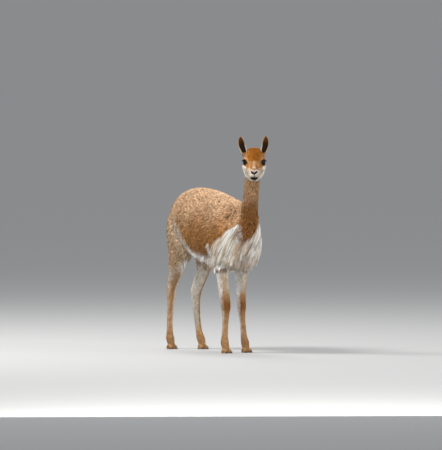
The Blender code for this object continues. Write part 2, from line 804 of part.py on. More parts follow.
def make_lock(path, width, depth, collection, name="lock"):
    """A flat lock of four-sided rings that runs to a point."""
    rings = []
    count = len(path)
    for k, (point, normal) in enumerate(path):
        share = k / (count - 1)
        ahead = path[min(k + 1, count - 1)][0] - path[max(k - 1, 0)][0]
        across = normal.cross(ahead).normalized()
        out = ahead.cross(across).normalized()
        swell = (0.70 + 0.75 * share - 0.30 * share**2) * max(1 - share**3.2, 0.0) ** 0.7
        half = width / 2 * max(swell, 0.05)
        thick = depth / 2 * max(1 - 0.75 * share, 0.10)
        wide, deep = across * half, out * thick
        rings.append([point + wide, point + deep, point - wide, point - deep])
    return loft(name, rings, collection)


def bib_locks(body, working):
    """Tiers of long locks round the chest, each tier lying over the next one down."""
    draw = random.Random(7)
    locks = []
    for tier, (front_z, side_z, side_y, count, length) in enumerate(BIB_TIERS):
        for k in range(count):
            across = -1 + 2 * (k + 0.5 * (tier % 2)) / (count - 1 + 0.5)
            across = max(min(across + draw.uniform(-0.02, 0.02), 1.0), -1.0)
            round_chest = across * math.radians(100)
            height = front_z + (side_z - front_z) * abs(across) ** 1.3 + draw.uniform(-0.008, 0.008)
            x = 0.20 * math.sin(round_chest)
            y = side_y - 0.22 * math.cos(round_chest) - 0.02
            root = Vector((x, y, height))
            # Beside the neck the hair sweeps back over the shoulder, and at the front it falls straight
            sweep = abs(across) ** 1.2
            flow = Vector((0.10 * across, 0.62 * sweep, -1.0)).normalized()
            own = length * draw.uniform(0.88, 1.12) * (1 - 0.12 * sweep)
            path = lay_path(body, root, flow, own, 0.012 + 0.006 * (k % 2), BIB_LOCK_STEPS)
            path = [(p + n * 0.0015 * (k % 2), n) for p, n in path]
            width = BIB_LOCK_WIDTH * draw.uniform(0.85, 1.1)
            locks.append(make_lock(path, width, BIB_LOCK_DEPTH, working))
    return locks


def belly_locks(body, working):
    """Two rows of hanging locks along each lower side of the barrel, longest behind the elbow."""
    draw = random.Random(11)
    locks = []
    for side in (-1, 1):
        for row, (out, up) in enumerate(((0.118, 0.036), (0.088, 0.010))):
            for k in range(9):
                y = -0.115 + 0.022 * k + 0.011 * row
                root = Vector((side * out, y, 0.475 + up + 0.0045 * k))
                flow = Vector((-0.10 * side, 0.22 + draw.uniform(-0.1, 0.1), -1.0)).normalized()
                length = (0.085 - 0.004 * k) * draw.uniform(0.8, 1.15)
                path = lay_path(body, root, flow, length, 0.003 + 0.003 * (k % 2), 3)
                locks.append(make_lock(path, 0.030 * draw.uniform(0.85, 1.1), 0.008, working))
    return locks


TAIL_LINE = (
    # y, z, half width, half depth
    (0.352, 0.800, 0.024, 0.018),
    (0.374, 0.790, 0.027, 0.020),
    (0.389, 0.764, 0.030, 0.021),
    (0.392, 0.725, 0.031, 0.020),
    (0.389, 0.690, 0.028, 0.017),
    (0.386, 0.665, 0.018, 0.012),
)


def make_tail(torso, nodes, working):
    """A short flat tail that hangs against the rump, its end a tuft of locks."""
    rings = []
    for k, (y, z, wide, deep) in enumerate(TAIL_LINE):
        before = TAIL_LINE[max(k - 1, 0)]
        after = TAIL_LINE[min(k + 1, len(TAIL_LINE) - 1)]
        along = Vector((0, after[0] - before[0], after[1] - before[1])).normalized()
        out = along.cross(Vector((1, 0, 0))).normalized()
        rings.append(ellipse(Vector((0, y, z)), Vector((1, 0, 0)), out, wide, deep, 10))
    tail = loft("tail", rings, nodes)
    draw = random.Random(5)
    core = Body(tail)
    locks = []
    for row, (z, count, length) in enumerate(((0.765, 5, 0.095), (0.725, 5, 0.095), (0.690, 5, 0.090))):
        for k in range(count):
            across = -1 + 2 * (k + 0.25 * (row % 2)) / (count - 1)
            root = Vector((0.034 * math.sin(across * 1.3), 0.392 + 0.020 * math.cos(across * 1.3), z))
            flow = Vector((0.16 * across, 0.02, -1.0)).normalized()
            path = lay_path(core, root, flow, length * draw.uniform(0.9, 1.1), 0.004, 3)
            clear = [(Vector((p.x, max(p.y, 0.380), p.z)), n) for p, n in path[1:]]
            path = [path[0], *clear]
            locks.append(make_lock(path, 0.022, 0.007, working))
    apply_boolean(tail, locks, "UNION", "MANIFOLD")
    cutter = grown_copy(torso, "tail_cutter", working)
    apply_boolean(tail, [cutter], "DIFFERENCE", "MANIFOLD")
    return tail


def paint(obj, name):
    obj.data.materials.clear()
    obj.data.materials.append(material(name))
    obj.data.shade_smooth()
    obj.data.set_sharp_from_angle(angle=math.radians(50))


def main():
    clear_scene()
    nodes = bpy.data.collections.new("vicuna")
    working = bpy.data.collections.new("cutters")
    bpy.context.scene.collection.children.link(nodes)
    bpy.context.scene.collection.children.link(working)

    torso = torso_form(nodes)
    neck = neck_form(nodes)
    neck_base = copy_of(neck, "neck_base", working)
    bisected(neck_base, *NECK_CUT, False)
    bisected(neck, *NECK_CUT, True)

    legs = (
        ("front_right", FRONT_RIGHT, None, -1, FRONT_CUT_HEIGHT),
        ("front_left", FRONT_LEFT, None, 1, FRONT_CUT_HEIGHT),
        ("hind_right", HIND_RIGHT, HAM_RIGHT, -1, HIND_CUT_HEIGHT),
        ("hind_left", HIND_LEFT, HAM_LEFT, 1, HIND_CUT_HEIGHT),
    )
    leg_nodes, stubs, wholes = [], [], []
    for word, stations, ham, side, cut_height in legs:
        wholes.append(leg_form("whole", stations, ham, side, working, working))
        leg, stub = make_leg(word, stations, ham, side, cut_height, nodes, working)
        leg_nodes.append(leg)
        stubs.append(stub)

    # One closed body, to lay hair on
    whole = copy_of(torso, "whole_body", working)
    apply_boolean(whole, [copy_of(neck_base, "part", working), *wholes], "UNION", "MANIFOLD")
    body = Body(whole)

    # The chest is the lower front of the body: it carries the forelegs' tops and the long hair
    apply_boolean(torso, [neck_base, *stubs], "UNION", "MANIFOLD")
    tail = make_tail(torso, nodes, working)
    chest = copy_of(torso, "chest", nodes)
    bisected(chest, *CHEST_CUT, True)
    bisected(torso, *CHEST_CUT, False)
    bib = bib_locks(body, working)
    bib_hair = bib.pop(0)
    apply_boolean(bib_hair, bib, "UNION", "MANIFOLD", False)
    near = [grown_copy(obj, "near", working) for obj in (torso, neck, *leg_nodes)]
    apply_boolean(bib_hair, near, "DIFFERENCE", "MANIFOLD", False)
    apply_boolean(chest, [bib_hair], "UNION", "MANIFOLD")
    apply_boolean(torso, belly_locks(body, working), "UNION", "MANIFOLD")

    head = make_head(nodes, working)
    head_whole = grown_copy(head, "head_whole", working)
    apply_boolean(neck, [head_whole], "DIFFERENCE", "MANIFOLD")
    for side, lean_out in EAR_LEANS:
        ear = make_ear(side, lean_out, nodes)
        head_cutter = grown_copy(head, "head_cutter", working)
        apply_boolean(ear, [head_cutter], "DIFFERENCE", "MANIFOLD")
        paint(ear, "face_hair")

    paint(chest, "white_hair")
    paint(tail, "cinnamon_wool")
    paint(torso, "cinnamon_wool")
    paint(neck, "neck_wool")
    paint(head, "face_hair")
    for obj in list(nodes.objects):
        if obj.name.startswith(("leg_", "foot_")):
            paint(obj, "leg_hair")
        if obj.name.startswith("nail_"):
            paint(obj, "horn")
        if obj.name.startswith("eye_"):
            paint(obj, "eye")
        obj.data.transform(Matrix.Translation(CENTRE_SHIFT))
    for helper in list(working.objects):
        bpy.data.objects.remove(helper, do_unlink=True)


main()
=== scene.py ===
import json
import math

import bmesh
import bpy
import numpy as np
from mathutils import Matrix, Vector, kdtree
from mathutils.bvhtree import BVHTree

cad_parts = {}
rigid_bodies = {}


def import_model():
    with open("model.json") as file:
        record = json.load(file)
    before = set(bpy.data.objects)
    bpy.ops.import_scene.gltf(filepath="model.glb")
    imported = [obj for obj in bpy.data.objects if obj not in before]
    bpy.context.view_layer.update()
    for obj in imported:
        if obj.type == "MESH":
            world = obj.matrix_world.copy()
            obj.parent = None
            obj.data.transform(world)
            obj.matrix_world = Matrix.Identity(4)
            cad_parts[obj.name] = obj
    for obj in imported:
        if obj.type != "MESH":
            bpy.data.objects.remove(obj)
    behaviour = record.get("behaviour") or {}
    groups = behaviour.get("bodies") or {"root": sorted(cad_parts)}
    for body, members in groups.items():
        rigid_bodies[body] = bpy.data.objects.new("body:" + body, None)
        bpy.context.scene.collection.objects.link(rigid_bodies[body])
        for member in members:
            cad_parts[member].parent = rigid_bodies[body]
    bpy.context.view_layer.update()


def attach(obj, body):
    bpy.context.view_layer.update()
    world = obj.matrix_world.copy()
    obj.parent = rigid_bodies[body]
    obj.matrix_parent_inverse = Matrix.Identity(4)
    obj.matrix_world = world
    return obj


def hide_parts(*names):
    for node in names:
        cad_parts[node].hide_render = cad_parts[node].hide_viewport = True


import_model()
print("frame loaded")

# Every length is in metres; the animal faces -Y and its left side is at +X
animal = {
    "centreShift": (0.0, 0.0875, 0.0),  # from the animal's own axes to the frame's
    "skinVoxel": 0.0065,
    "faceVoxel": 0.0019,
    "footVoxel": 0.0024,
    "woolDepth": 0.012,  # the skin lies this far inside the torso's solid
    "neckDepth": 0.008,
    "legDepth": 0.0025,
    "faceDepth": 0.002,
}
shift = Vector(animal["centreShift"])
sideways = Vector((1, 0, 0))
backwards = Vector((0, 1, 0))
upright = Vector((0, 0, 1))


def deselectAll():
    if bpy.context.object and bpy.context.object.mode != "OBJECT":
        bpy.ops.object.mode_set(mode="OBJECT")
    bpy.ops.object.select_all(action="DESELECT")


def pick(*objs):
    deselectAll()
    for obj in objs:
        obj.select_set(True)
    bpy.context.view_layer.objects.active = objs[0]


def finishWith(obj, kind, **settings):
    pick(obj)
    modifier = obj.modifiers.new(kind.lower(), kind)
    for name, value in settings.items():
        setattr(modifier, name, value)
    bpy.ops.object.modifier_apply(modifier=modifier.name)


def joined(objs, name):
    pick(*objs)
    bpy.ops.object.join()
    made = bpy.context.object
    made.name = name
    made.data.name = name
    return made


def newMesh(name, points, faces):
    mesh = bpy.data.meshes.new(name)
    mesh.from_pydata([tuple(p) for p in points], [], faces)
    obj = bpy.data.objects.new(name, mesh)
    bpy.context.scene.collection.objects.link(obj)
    return obj


def outwards(obj):
    pick(obj)
    bpy.ops.object.mode_set(mode="EDIT")
    bpy.ops.mesh.select_all(action="SELECT")
    bpy.ops.mesh.normals_make_consistent(inside=False)
    bpy.ops.object.mode_set(mode="OBJECT")
    return obj


def loft(name, rings):
    count = len(rings[0])
    points = [p for ring in rings for p in ring]
    faces = []
    for r in range(len(rings) - 1):
        for k in range(count):
            n = (k + 1) % count
            faces.append((r * count + k, r * count + n, (r + 1) * count + n, (r + 1) * count + k))
    faces.append(tuple(reversed(range(count))))
    last = (len(rings) - 1) * count
    faces.append(tuple(range(last, last + count)))
    return outwards(newMesh(name, points, faces))


def through(stations, at):
    # A smooth cubic through rows sorted by their first value
    rows = sorted(stations)
    at = min(max(at, rows[0][0]), rows[-1][0])
    i = max(k for k in range(len(rows) - 1) if rows[k][0] <= at + 1e-12)
    a, b = rows[i], rows[i + 1]
    before, after = rows[max(i - 1, 0)], rows[min(i + 2, len(rows) - 1)]
    span = b[0] - a[0]
    s = (at - a[0]) / span
    found = []
    for k in range(1, len(a)):
        slopeA = (b[k] - before[k]) / (b[0] - before[0])
        slopeB = (after[k] - a[k]) / (after[0] - a[0])
        found.append(
            (2 * s**3 - 3 * s**2 + 1) * a[k] + (s**3 - 2 * s**2 + s) * slopeA * span
            + (3 * s**2 - 2 * s**3) * b[k] + (s**3 - s**2) * slopeB * span
        )
    return found


def eggRing(top, bottom, half, wideAt, count, upper, lower):
    ring = []
    for k in range(count):
        turn = 2 * math.pi * k / count
        side, up = math.cos(turn), math.sin(turn)
        x = half * math.copysign(abs(side) ** (upper if up > 0 else lower), side)
        reach = (top - wideAt) if up > 0 else (wideAt - bottom)
        ring.append((x, wideAt + reach * up))
    return ring


def ellipse(centre, along, across, a, b, count):
    turns = [2 * math.pi * k / count for k in range(count)]
    return [centre + along * (a * math.cos(t)) + across * (b * math.sin(t)) for t in turns]


def ball(name, place, radii, segments=20, rings=14):
    deselectAll()
    bpy.ops.mesh.primitive_uv_sphere_add(segments=segments, ring_count=rings, radius=1.0)
    made = bpy.context.object
    made.name = name
    made.data.transform(place @ Matrix.Diagonal((*radii, 1.0)))
    return made


# The body's forms, as rows of stations

torsoForm = (
    # y, top, bottom, half width, height of the widest point
    (-0.405, 0.640, 0.555, 0.030, 0.597),
    (-0.392, 0.685, 0.520, 0.064, 0.592),
    (-0.345, 0.756, 0.483, 0.100, 0.596),
    (-0.290, 0.806, 0.466, 0.127, 0.616),
    (-0.230, 0.838, 0.459, 0.144, 0.632),
    (-0.170, 0.853, 0.458, 0.152, 0.638),
    (-0.100, 0.868, 0.461, 0.160, 0.643),
    (-0.020, 0.883, 0.474, 0.167, 0.654),
    (0.060, 0.893, 0.500, 0.168, 0.670),
    (0.130, 0.897, 0.531, 0.162, 0.686),
    (0.200, 0.890, 0.557, 0.147, 0.692),
    (0.250, 0.876, 0.572, 0.132, 0.697),
    (0.300, 0.854, 0.588, 0.109, 0.703),
    (0.335, 0.824, 0.608, 0.082, 0.708),
    (0.360, 0.791, 0.639, 0.052, 0.714),
    (0.374, 0.751, 0.674, 0.022, 0.714),
)
legForms = {
    # z, x outwards, y, half length along y, half width along x
    "hindRight": (-1, (
        (0.790, 0.055, 0.230, 0.055, 0.030),
        (0.745, 0.072, 0.225, 0.082, 0.048),
        (0.700, 0.083, 0.215, 0.094, 0.055),
        (0.650, 0.090, 0.203, 0.096, 0.057),
        (0.600, 0.095, 0.192, 0.095, 0.055),
        (0.560, 0.099, 0.186, 0.091, 0.050),
        (0.520, 0.100, 0.190, 0.085, 0.045),
        (0.460, 0.097, 0.224, 0.068, 0.037),
        (0.400, 0.085, 0.272, 0.053, 0.029),
        (0.355, 0.074, 0.318, 0.045, 0.024),
        (0.328, 0.068, 0.341, 0.039, 0.0225),
        (0.298, 0.066, 0.345, 0.031, 0.022),
        (0.260, 0.066, 0.350, 0.0245, 0.019),
        (0.180, 0.068, 0.355, 0.0205, 0.0165),
        (0.100, 0.070, 0.356, 0.0200, 0.0160),
        (0.066, 0.071, 0.352, 0.0235, 0.0195),
        (0.040, 0.071, 0.343, 0.0225, 0.0185),
        (0.016, 0.071, 0.336, 0.0180, 0.0160),
    )),
    "hamRight": (-1, (
        (0.760, 0.050, 0.268, 0.060, 0.038),
        (0.720, 0.058, 0.270, 0.074, 0.045),
        (0.670, 0.063, 0.268, 0.080, 0.046),
        (0.600, 0.066, 0.266, 0.078, 0.042),
        (0.540, 0.068, 0.264, 0.071, 0.036),
        (0.480, 0.072, 0.270, 0.059, 0.030),
        (0.420, 0.075, 0.287, 0.045, 0.024),
        (0.380, 0.072, 0.305, 0.033, 0.019),
    )),
    "hindLeft": (1, (
        (0.790, 0.055, 0.235, 0.055, 0.030),
        (0.745, 0.072, 0.232, 0.082, 0.048),
        (0.700, 0.083, 0.225, 0.094, 0.055),
        (0.650, 0.090, 0.213, 0.096, 0.057),
        (0.600, 0.095, 0.204, 0.092, 0.053),
        (0.560, 0.098, 0.200, 0.086, 0.048),
        (0.520, 0.097, 0.208, 0.078, 0.043),
        (0.460, 0.088, 0.243, 0.062, 0.034),
        (0.400, 0.079, 0.265, 0.056, 0.027),
        (0.348, 0.070, 0.288, 0.051, 0.023),
        (0.315, 0.066, 0.302, 0.046, 0.022),
        (0.285, 0.065, 0.303, 0.036, 0.021),
        (0.250, 0.065, 0.300, 0.028, 0.019),
        (0.180, 0.067, 0.293, 0.0215, 0.0165),
        (0.105, 0.070, 0.278, 0.0200, 0.0160),
        (0.068, 0.071, 0.262, 0.0235, 0.0195),
        (0.040, 0.071, 0.249, 0.0225, 0.0185),
        (0.016, 0.071, 0.240, 0.0180, 0.0160),
    )),
    "hamLeft": (1, (
        (0.760, 0.050, 0.268, 0.060, 0.038),
        (0.720, 0.058, 0.270, 0.074, 0.045),
        (0.670, 0.063, 0.266, 0.078, 0.045),
        (0.600, 0.068, 0.260, 0.070, 0.039),
        (0.540, 0.073, 0.257, 0.058, 0.031),
        (0.480, 0.078, 0.261, 0.048, 0.026),
        (0.420, 0.078, 0.272, 0.041, 0.022),
        (0.380, 0.076, 0.282, 0.033, 0.018),
    )),
    "frontRight": (-1, (
        (0.609, 0.096, -0.232, 0.0620, 0.0420),
        (0.550, 0.093, -0.235, 0.0600, 0.0400),
        (0.491, 0.086, -0.237, 0.0530, 0.0350),
        (0.442, 0.080, -0.238, 0.0460, 0.0295),
        (0.383, 0.072, -0.234, 0.0420, 0.0275),
        (0.334, 0.064, -0.230, 0.0370, 0.0265),
        (0.293, 0.058, -0.232, 0.0330, 0.0268),
        (0.257, 0.056, -0.237, 0.0300, 0.0255),
        (0.224, 0.056, -0.237, 0.0250, 0.0205),
        (0.182, 0.059, -0.239, 0.0195, 0.0170),
        (0.128, 0.064, -0.243, 0.0185, 0.0160),
        (0.086, 0.068, -0.247, 0.0195, 0.0165),
        (0.061, 0.071, -0.252, 0.0230, 0.0195),
        (0.037, 0.071, -0.260, 0.0225, 0.0185),
        (0.016, 0.071, -0.267, 0.0180, 0.0160),
    )),
    "frontLeft": (1, (
        (0.609, 0.094, -0.200, 0.0620, 0.0420),
        (0.550, 0.092, -0.190, 0.0600, 0.0410),
        (0.491, 0.085, -0.180, 0.0550, 0.0380),
        (0.442, 0.079, -0.176, 0.0490, 0.0330),
        (0.383, 0.071, -0.185, 0.0420, 0.0285),
        (0.334, 0.063, -0.199, 0.0340, 0.0235),
        (0.293, 0.057, -0.212, 0.0290, 0.0225),
        (0.257, 0.055, -0.219, 0.0280, 0.0220),
        (0.224, 0.055, -0.220, 0.0240, 0.0190),
        (0.182, 0.059, -0.220, 0.0185, 0.0160),
        (0.128, 0.064, -0.221, 0.0180, 0.0152),
        (0.086, 0.068, -0.223, 0.0190, 0.0162),
        (0.061, 0.071, -0.227, 0.0230, 0.0195),
        (0.037, 0.071, -0.234, 0.0225, 0.0185),
        (0.016, 0.071, -0.241, 0.0180, 0.0160),
    )),
}
neckForm = (
    # y, z, half depth, half width
    (-0.262, 0.590, 0.1200, 0.1000),
    (-0.305, 0.630, 0.1180, 0.0920),
    (-0.345, 0.668, 0.0980, 0.0760),
    (-0.373, 0.705, 0.0780, 0.0610),
    (-0.391, 0.748, 0.0630, 0.0500),
    (-0.404, 0.800, 0.0530, 0.0450),
    (-0.415, 0.860, 0.0490, 0.0430),
    (-0.426, 0.925, 0.0470, 0.0425),
    (-0.434, 0.970, 0.0480, 0.0430),
    (-0.443, 1.010, 0.0480, 0.0440),
    (-0.452, 1.045, 0.0440, 0.0440),
    (-0.458, 1.068, 0.0300, 0.0300),
)
tailForm = (
    # y, z, half width, half depth
    (0.345, 0.800, 0.016, 0.014),
    (0.370, 0.788, 0.017, 0.014),
    (0.383, 0.762, 0.016, 0.012),
    (0.387, 0.725, 0.013, 0.010),
    (0.386, 0.690, 0.009, 0.007),
    (0.385, 0.672, 0.004, 0.003),
)
headForm = {
    "place": (-0.023, -0.490, 1.052),  # midway between the eyes
    "turn": -30.0,
    "nod": 15.0,
    "stations": (
        # forward, top, bottom, half width, height of the widest point
        (-0.100, 0.016, -0.036, 0.018, -0.010),
        (-0.086, 0.044, -0.060, 0.041, -0.008),
        (-0.060, 0.067, -0.074, 0.055, -0.008),
        (-0.030, 0.074, -0.080, 0.0605, -0.008),
        (-0.004, 0.063, -0.081, 0.0615, -0.010),
        (0.020, 0.045, -0.079, 0.0560, -0.017),
        (0.044, 0.029, -0.076, 0.047, -0.034),
        (0.068, 0.016, -0.074, 0.037, -0.040),
        (0.090, 0.005, -0.074, 0.031, -0.042),
        (0.106, -0.003, -0.072, 0.0280, -0.044),
        (0.116, -0.010, -0.065, 0.023, -0.042),
        (0.122, -0.020, -0.054, 0.013, -0.038),
    ),
    "pairedForms": (
        # x outwards, y, z, radii, turn outwards, nod
        (0.0420, -0.004, 0.0215, (0.0125, 0.024, 0.0078), -16, 0),  # brow ridge
        (0.031, 0.012, -0.038, (0.021, 0.038, 0.029), 0, 0),  # cheek
        (0.0315, -0.028, -0.020, (0.0100, 0.026, 0.0085), 14, 22),  # cheekbone under the eye
        (0.0105, -0.1080, -0.0390, (0.0145, 0.0155, 0.0120), 0, 0),  # upper lip
        (0.0165, -0.0920, -0.0420, (0.0125, 0.0220, 0.0150), 0, 0),  # muzzle pad
        (0.0105, -0.1120, -0.0215, (0.0090, 0.0100, 0.0082), 0, 0),  # nostril rim
    ),
    "middleForms": (
        (0, -0.0985, -0.0625, (0.0155, 0.0155, 0.0105), 0, 0),  # chin
        (0, -0.060, 0.004, (0.0135, 0.050, 0.0150), 0, 24),  # bridge of the nose
    ),
    "eye": (0.0415, -0.010, 0.004),
    "eyeRadius": 0.0175,
    "lid": 0.0030,
    "look": (0.72, -0.69, 0.03),
    "lidHalfLength": 0.0160,
    "lidAbove": 0.0118,
    "lidBelow": 0.0104,
    "oval": (0.0162, 0.0115),  # half sizes of the bare skin round the eye
    "nostril": (0.0090, -0.1215, -0.0225),
    "nostrilRadii": (0.0102, 0.0085, 0.0040),
    "mouthHeight": -0.0535,
    "mouthLift": 0.006,  # the corners stand higher than the middle
    "mouthCentre": 0.066,
}
earForm = {
    "length": 0.110,
    "halfWidth": 0.0222,
    "wall": 0.0026,
    "root": (0.0375, 0.034, 0.030),
    "leanRight": 22.0,
    "leanLeft": 16.0,
}
footForm = {
    "spread": 0.0118,
    "halfWidth": 0.0112,
    "length": 0.040,
    "heelBehind": 0.015,
    "nailLength": 0.014,
    "nailHalfWidth": 0.0064,
    "gap": 0.0003,
    "toeStations": (
        # share of the length, half width, height of the top
        (0.00, 0.55, 0.018),
        (0.12, 0.88, 0.026),
        (0.35, 1.00, 0.030),
        (0.62, 0.98, 0.024),
        (0.85, 0.84, 0.018),
        (1.00, 0.50, 0.012),
    ),
    "nailStations": (
        (0.00, 0.72, 0.0110),
        (0.25, 1.00, 0.0125),
        (0.60, 0.80, 0.0090),
        (0.88, 0.42, 0.0055),
        (1.00, 0.16, 0.0030),
    ),
}


def makeTorso():
    inset = animal["woolDepth"]
    thinnest = 0.004
    first, last = torsoForm[0][0], torsoForm[-1][0]
    rings, count = [], 40
    for k in range(count):
        share = 0.5 - 0.5 * math.cos(math.pi * k / (count - 1))
        y = first + (last - first) * share
        top, bottom, half, wideAt = through(torsoForm, y)
        half = max(half - inset, thinnest)
        top, bottom = max(top - inset, wideAt + thinnest), min(bottom + inset, wideAt - thinnest)
        section = eggRing(top, bottom, half, wideAt, 44, 0.92, 0.92)
        inner = y * (1 - 2 * inset / (last - first))
        rings.append([Vector((x, inner, z)) for x, z in section])
    return loft("torso", rings)


def makeLimb(name, side, stations, inset):
    rings = []
    top, bottom = stations[0][0], stations[-1][0]
    count = 44
    for k in range(count):
        z = top + (bottom - top) * k / (count - 1)
        out, y, halfLong, halfWide = through(stations, z)
        deep = inset * (0.35 + 1.6 * min(max((z - 0.30) / 0.25, 0.0), 1.0))
        centre = Vector((side * out, y, z))
        rings.append(ellipse(centre, backwards, sideways, halfLong - deep, halfWide - deep, 28))
    return loft(name, rings)


def makeNeck():
    inset = animal["neckDepth"]
    byHeight = [(row[1], row[0], row[2], row[3]) for row in neckForm]
    low, high = neckForm[0][1], neckForm[-1][1]
    rings = []
    for k in range(30):
        z = low + (high - low) * k / 29
        y, deep, wide = through(byHeight, z)
        ahead = through(byHeight, z + 0.004)[0] - through(byHeight, z - 0.004)[0]
        tangent = Vector((0, ahead, 0.008)).normalized()
        forwards = sideways.cross(tangent).normalized()
        rings.append(ellipse(Vector((0, y, z)), forwards, sideways, deep - inset, wide - inset, 36))
    return loft("neck", rings)


def makeTailCore():
    rings = []
    for k, (y, z, wide, deep) in enumerate(tailForm):
        before, after = tailForm[max(k - 1, 0)], tailForm[min(k + 1, len(tailForm) - 1)]
        along = Vector((0, after[0] - before[0], after[1] - before[1])).normalized()
        out = along.cross(sideways).normalized()
        rings.append(ellipse(Vector((0, y, z)), sideways, out, wide, deep, 14))
    return loft("tailCore", rings)


headMatrix = (
    Matrix.Translation(headForm["place"])
    @ Matrix.Rotation(math.radians(headForm["turn"]), 4, "Z")
    @ Matrix.Rotation(math.radians(headForm["nod"]), 4, "X")
)


def eyeMatrix(side):
    look = Vector(headForm["look"])
    look.x *= side
    look.normalize()
    across = upright.cross(look).normalized()
    turn = Matrix((across, look.cross(across), look)).transposed().to_4x4()
    eye = Vector(headForm["eye"])
    return Matrix.Translation((side * eye.x, eye.y, eye.z)) @ turn


def lidOpening(side):
    # An almond, longer towards the nose, cut through both lids
    points = []
    for k in range(28):
        turn = 2 * math.pi * k / 28
        along, up = math.cos(turn), math.sin(turn)
        high = headForm["lidAbove"] if up > 0 else headForm["lidBelow"]
        high = high * math.copysign(abs(up) ** 1.25, up)
        points.append(Vector((headForm["lidHalfLength"] * along, high, 0)))
    place = eyeMatrix(side)
    radius = headForm["eyeRadius"]
    near = [place @ (p + Vector((0, 0, radius * 0.45))) for p in points]
    far = [place @ (p * 1.25 + Vector((0, 0, radius * 1.8))) for p in points]
    return loft("lidOpening", [near, far])


def mouthLine(ahead):
    # Height of the mouth, from the cosine of the turn away from its middle
    return headForm["mouthHeight"] + headForm["mouthLift"] * (1 - ahead) ** 1.2


def mouthSlot():
    rings = []
    for k in range(19):
        turn = math.radians(-92 + 184 * k / 18)
        x = 0.031 * math.sin(turn)
        forward = headForm["mouthCentre"] + 0.060 * math.cos(turn)
        away = Vector((math.sin(turn), -math.cos(turn), 0))
        centre = Vector((x, -forward, mouthLine(math.cos(turn))))
        high = 0.0022 * (0.15 + 0.85 * math.cos(turn) ** 2)
        wedge = ((0.012, high), (-0.008, high * 0.5), (-0.008, -high * 0.5), (0.012, -high))
        rings.append([centre + away * a + upright * b for a, b in wedge])
    return loft("mouthSlot", rings)


def cutBy(obj, cutters, operation="DIFFERENCE"):
    group = bpy.data.collections.new("cutting")
    bpy.context.scene.collection.children.link(group)
    for cutter in cutters:
        for user in list(cutter.users_collection):
            user.objects.unlink(cutter)
        group.objects.link(cutter)
    finishWith(
        obj, "BOOLEAN", operation=operation, operand_type="COLLECTION", collection=group, solver="MANIFOLD"
    )
    for cutter in list(group.objects):
        bpy.data.objects.remove(cutter, do_unlink=True)
    bpy.data.collections.remove(group)


def softForm(side, form):
    out, y, z, radii, turn, nod = form
    place = Matrix.Translation((side * out, y, z)) @ Matrix.Rotation(math.radians(turn * side), 4, "Z")
    return ball("softForm", place @ Matrix.Rotation(math.radians(nod), 4, "X"), radii)


def makeHead():
    inset = animal["faceDepth"]
    rows = headForm["stations"]
    rings, count = [], 34
    for k in range(count):
        share = 0.5 * (0.5 - 0.5 * math.cos(math.pi * k / (count - 1))) + 0.5 * k / (count - 1)
        forward = rows[0][0] + (rows[-1][0] - rows[0][0]) * share
        top, bottom, half, wideAt = through(rows, forward)
        section = eggRing(top - inset, bottom + inset, half - inset, wideAt, 40, 0.80, 0.84)
        rings.append([Vector((x, -forward * 0.985, z)) for x, z in section])
    forms = [loft("skull", rings)]
    for side in (-1, 1):
        forms += [softForm(side, form) for form in headForm["pairedForms"]]
        radius = headForm["eyeRadius"] + headForm["lid"] - 0.0006
        forms.append(ball("lids", eyeMatrix(side), (radius, radius, radius), 28, 20))
    forms += [softForm(1, form) for form in headForm["middleForms"]]
    head = joined(forms, "head")
    finishWith(head, "REMESH", mode="VOXEL", voxel_size=animal["faceVoxel"], adaptivity=0.0)
    finishWith(head, "SMOOTH", factor=0.5, iterations=9)
    cutters = []
    for side in (-1, 1):
        radius = headForm["eyeRadius"] + 0.0003
        cutters.append(ball("socket", eyeMatrix(side), (radius, radius, radius), 32, 24))
        cutters.append(lidOpening(side))
        out, y, z = headForm["nostril"]
        place = Matrix.Translation((side * out, y, z)) @ Matrix.Rotation(math.radians(40 * side), 4, "Y")
        place = place @ Matrix.Rotation(math.radians(-32 * side), 4, "Z")
        cutters.append(ball("nostril", place, headForm["nostrilRadii"], 18, 12))
    cutters.append(mouthSlot())
    sides = ((-0.0009, -0.049), (0.0009, -0.049), (0.0009, -0.027), (-0.0009, -0.027))
    cleft = [Vector((x, -0.132, z)) for x, z in sides]
    cutters.append(loft("lipCleft", [cleft, [p + Vector((0, 0.0150, 0)) for p in cleft]]))
    cutBy(head, cutters)
    finishWith(head, "REMESH", mode="VOXEL", voxel_size=animal["faceVoxel"] * 0.9, adaptivity=0.0)
    finishWith(head, "SMOOTH", factor=0.5, iterations=1)
    head.data.transform(headMatrix)
    return head


def earSwell(s, least=0.0):
    # Narrow at the root, widest below the middle, running to a point
    return (0.42 + 1.30 * s - 0.52 * s**2) * np.maximum(1 - s**2.6, least) ** 0.62


def earSpine(s, side):
    return side * (-0.004 * s**2.2 + 0.005 * np.sin(math.pi * s))


def earPlace(side):
    lean = earForm["leanRight"] if side < 0 else earForm["leanLeft"]
    out, y, z = earForm["root"]
    return (
        headMatrix
        @ Matrix.Translation((side * out, y, z))
        @ Matrix.Rotation(math.radians(lean) * side, 4, "Y")
        @ Matrix.Rotation(math.radians(-6), 4, "X")
        @ Matrix.Rotation(math.radians(18 * side), 4, "Z")
    )


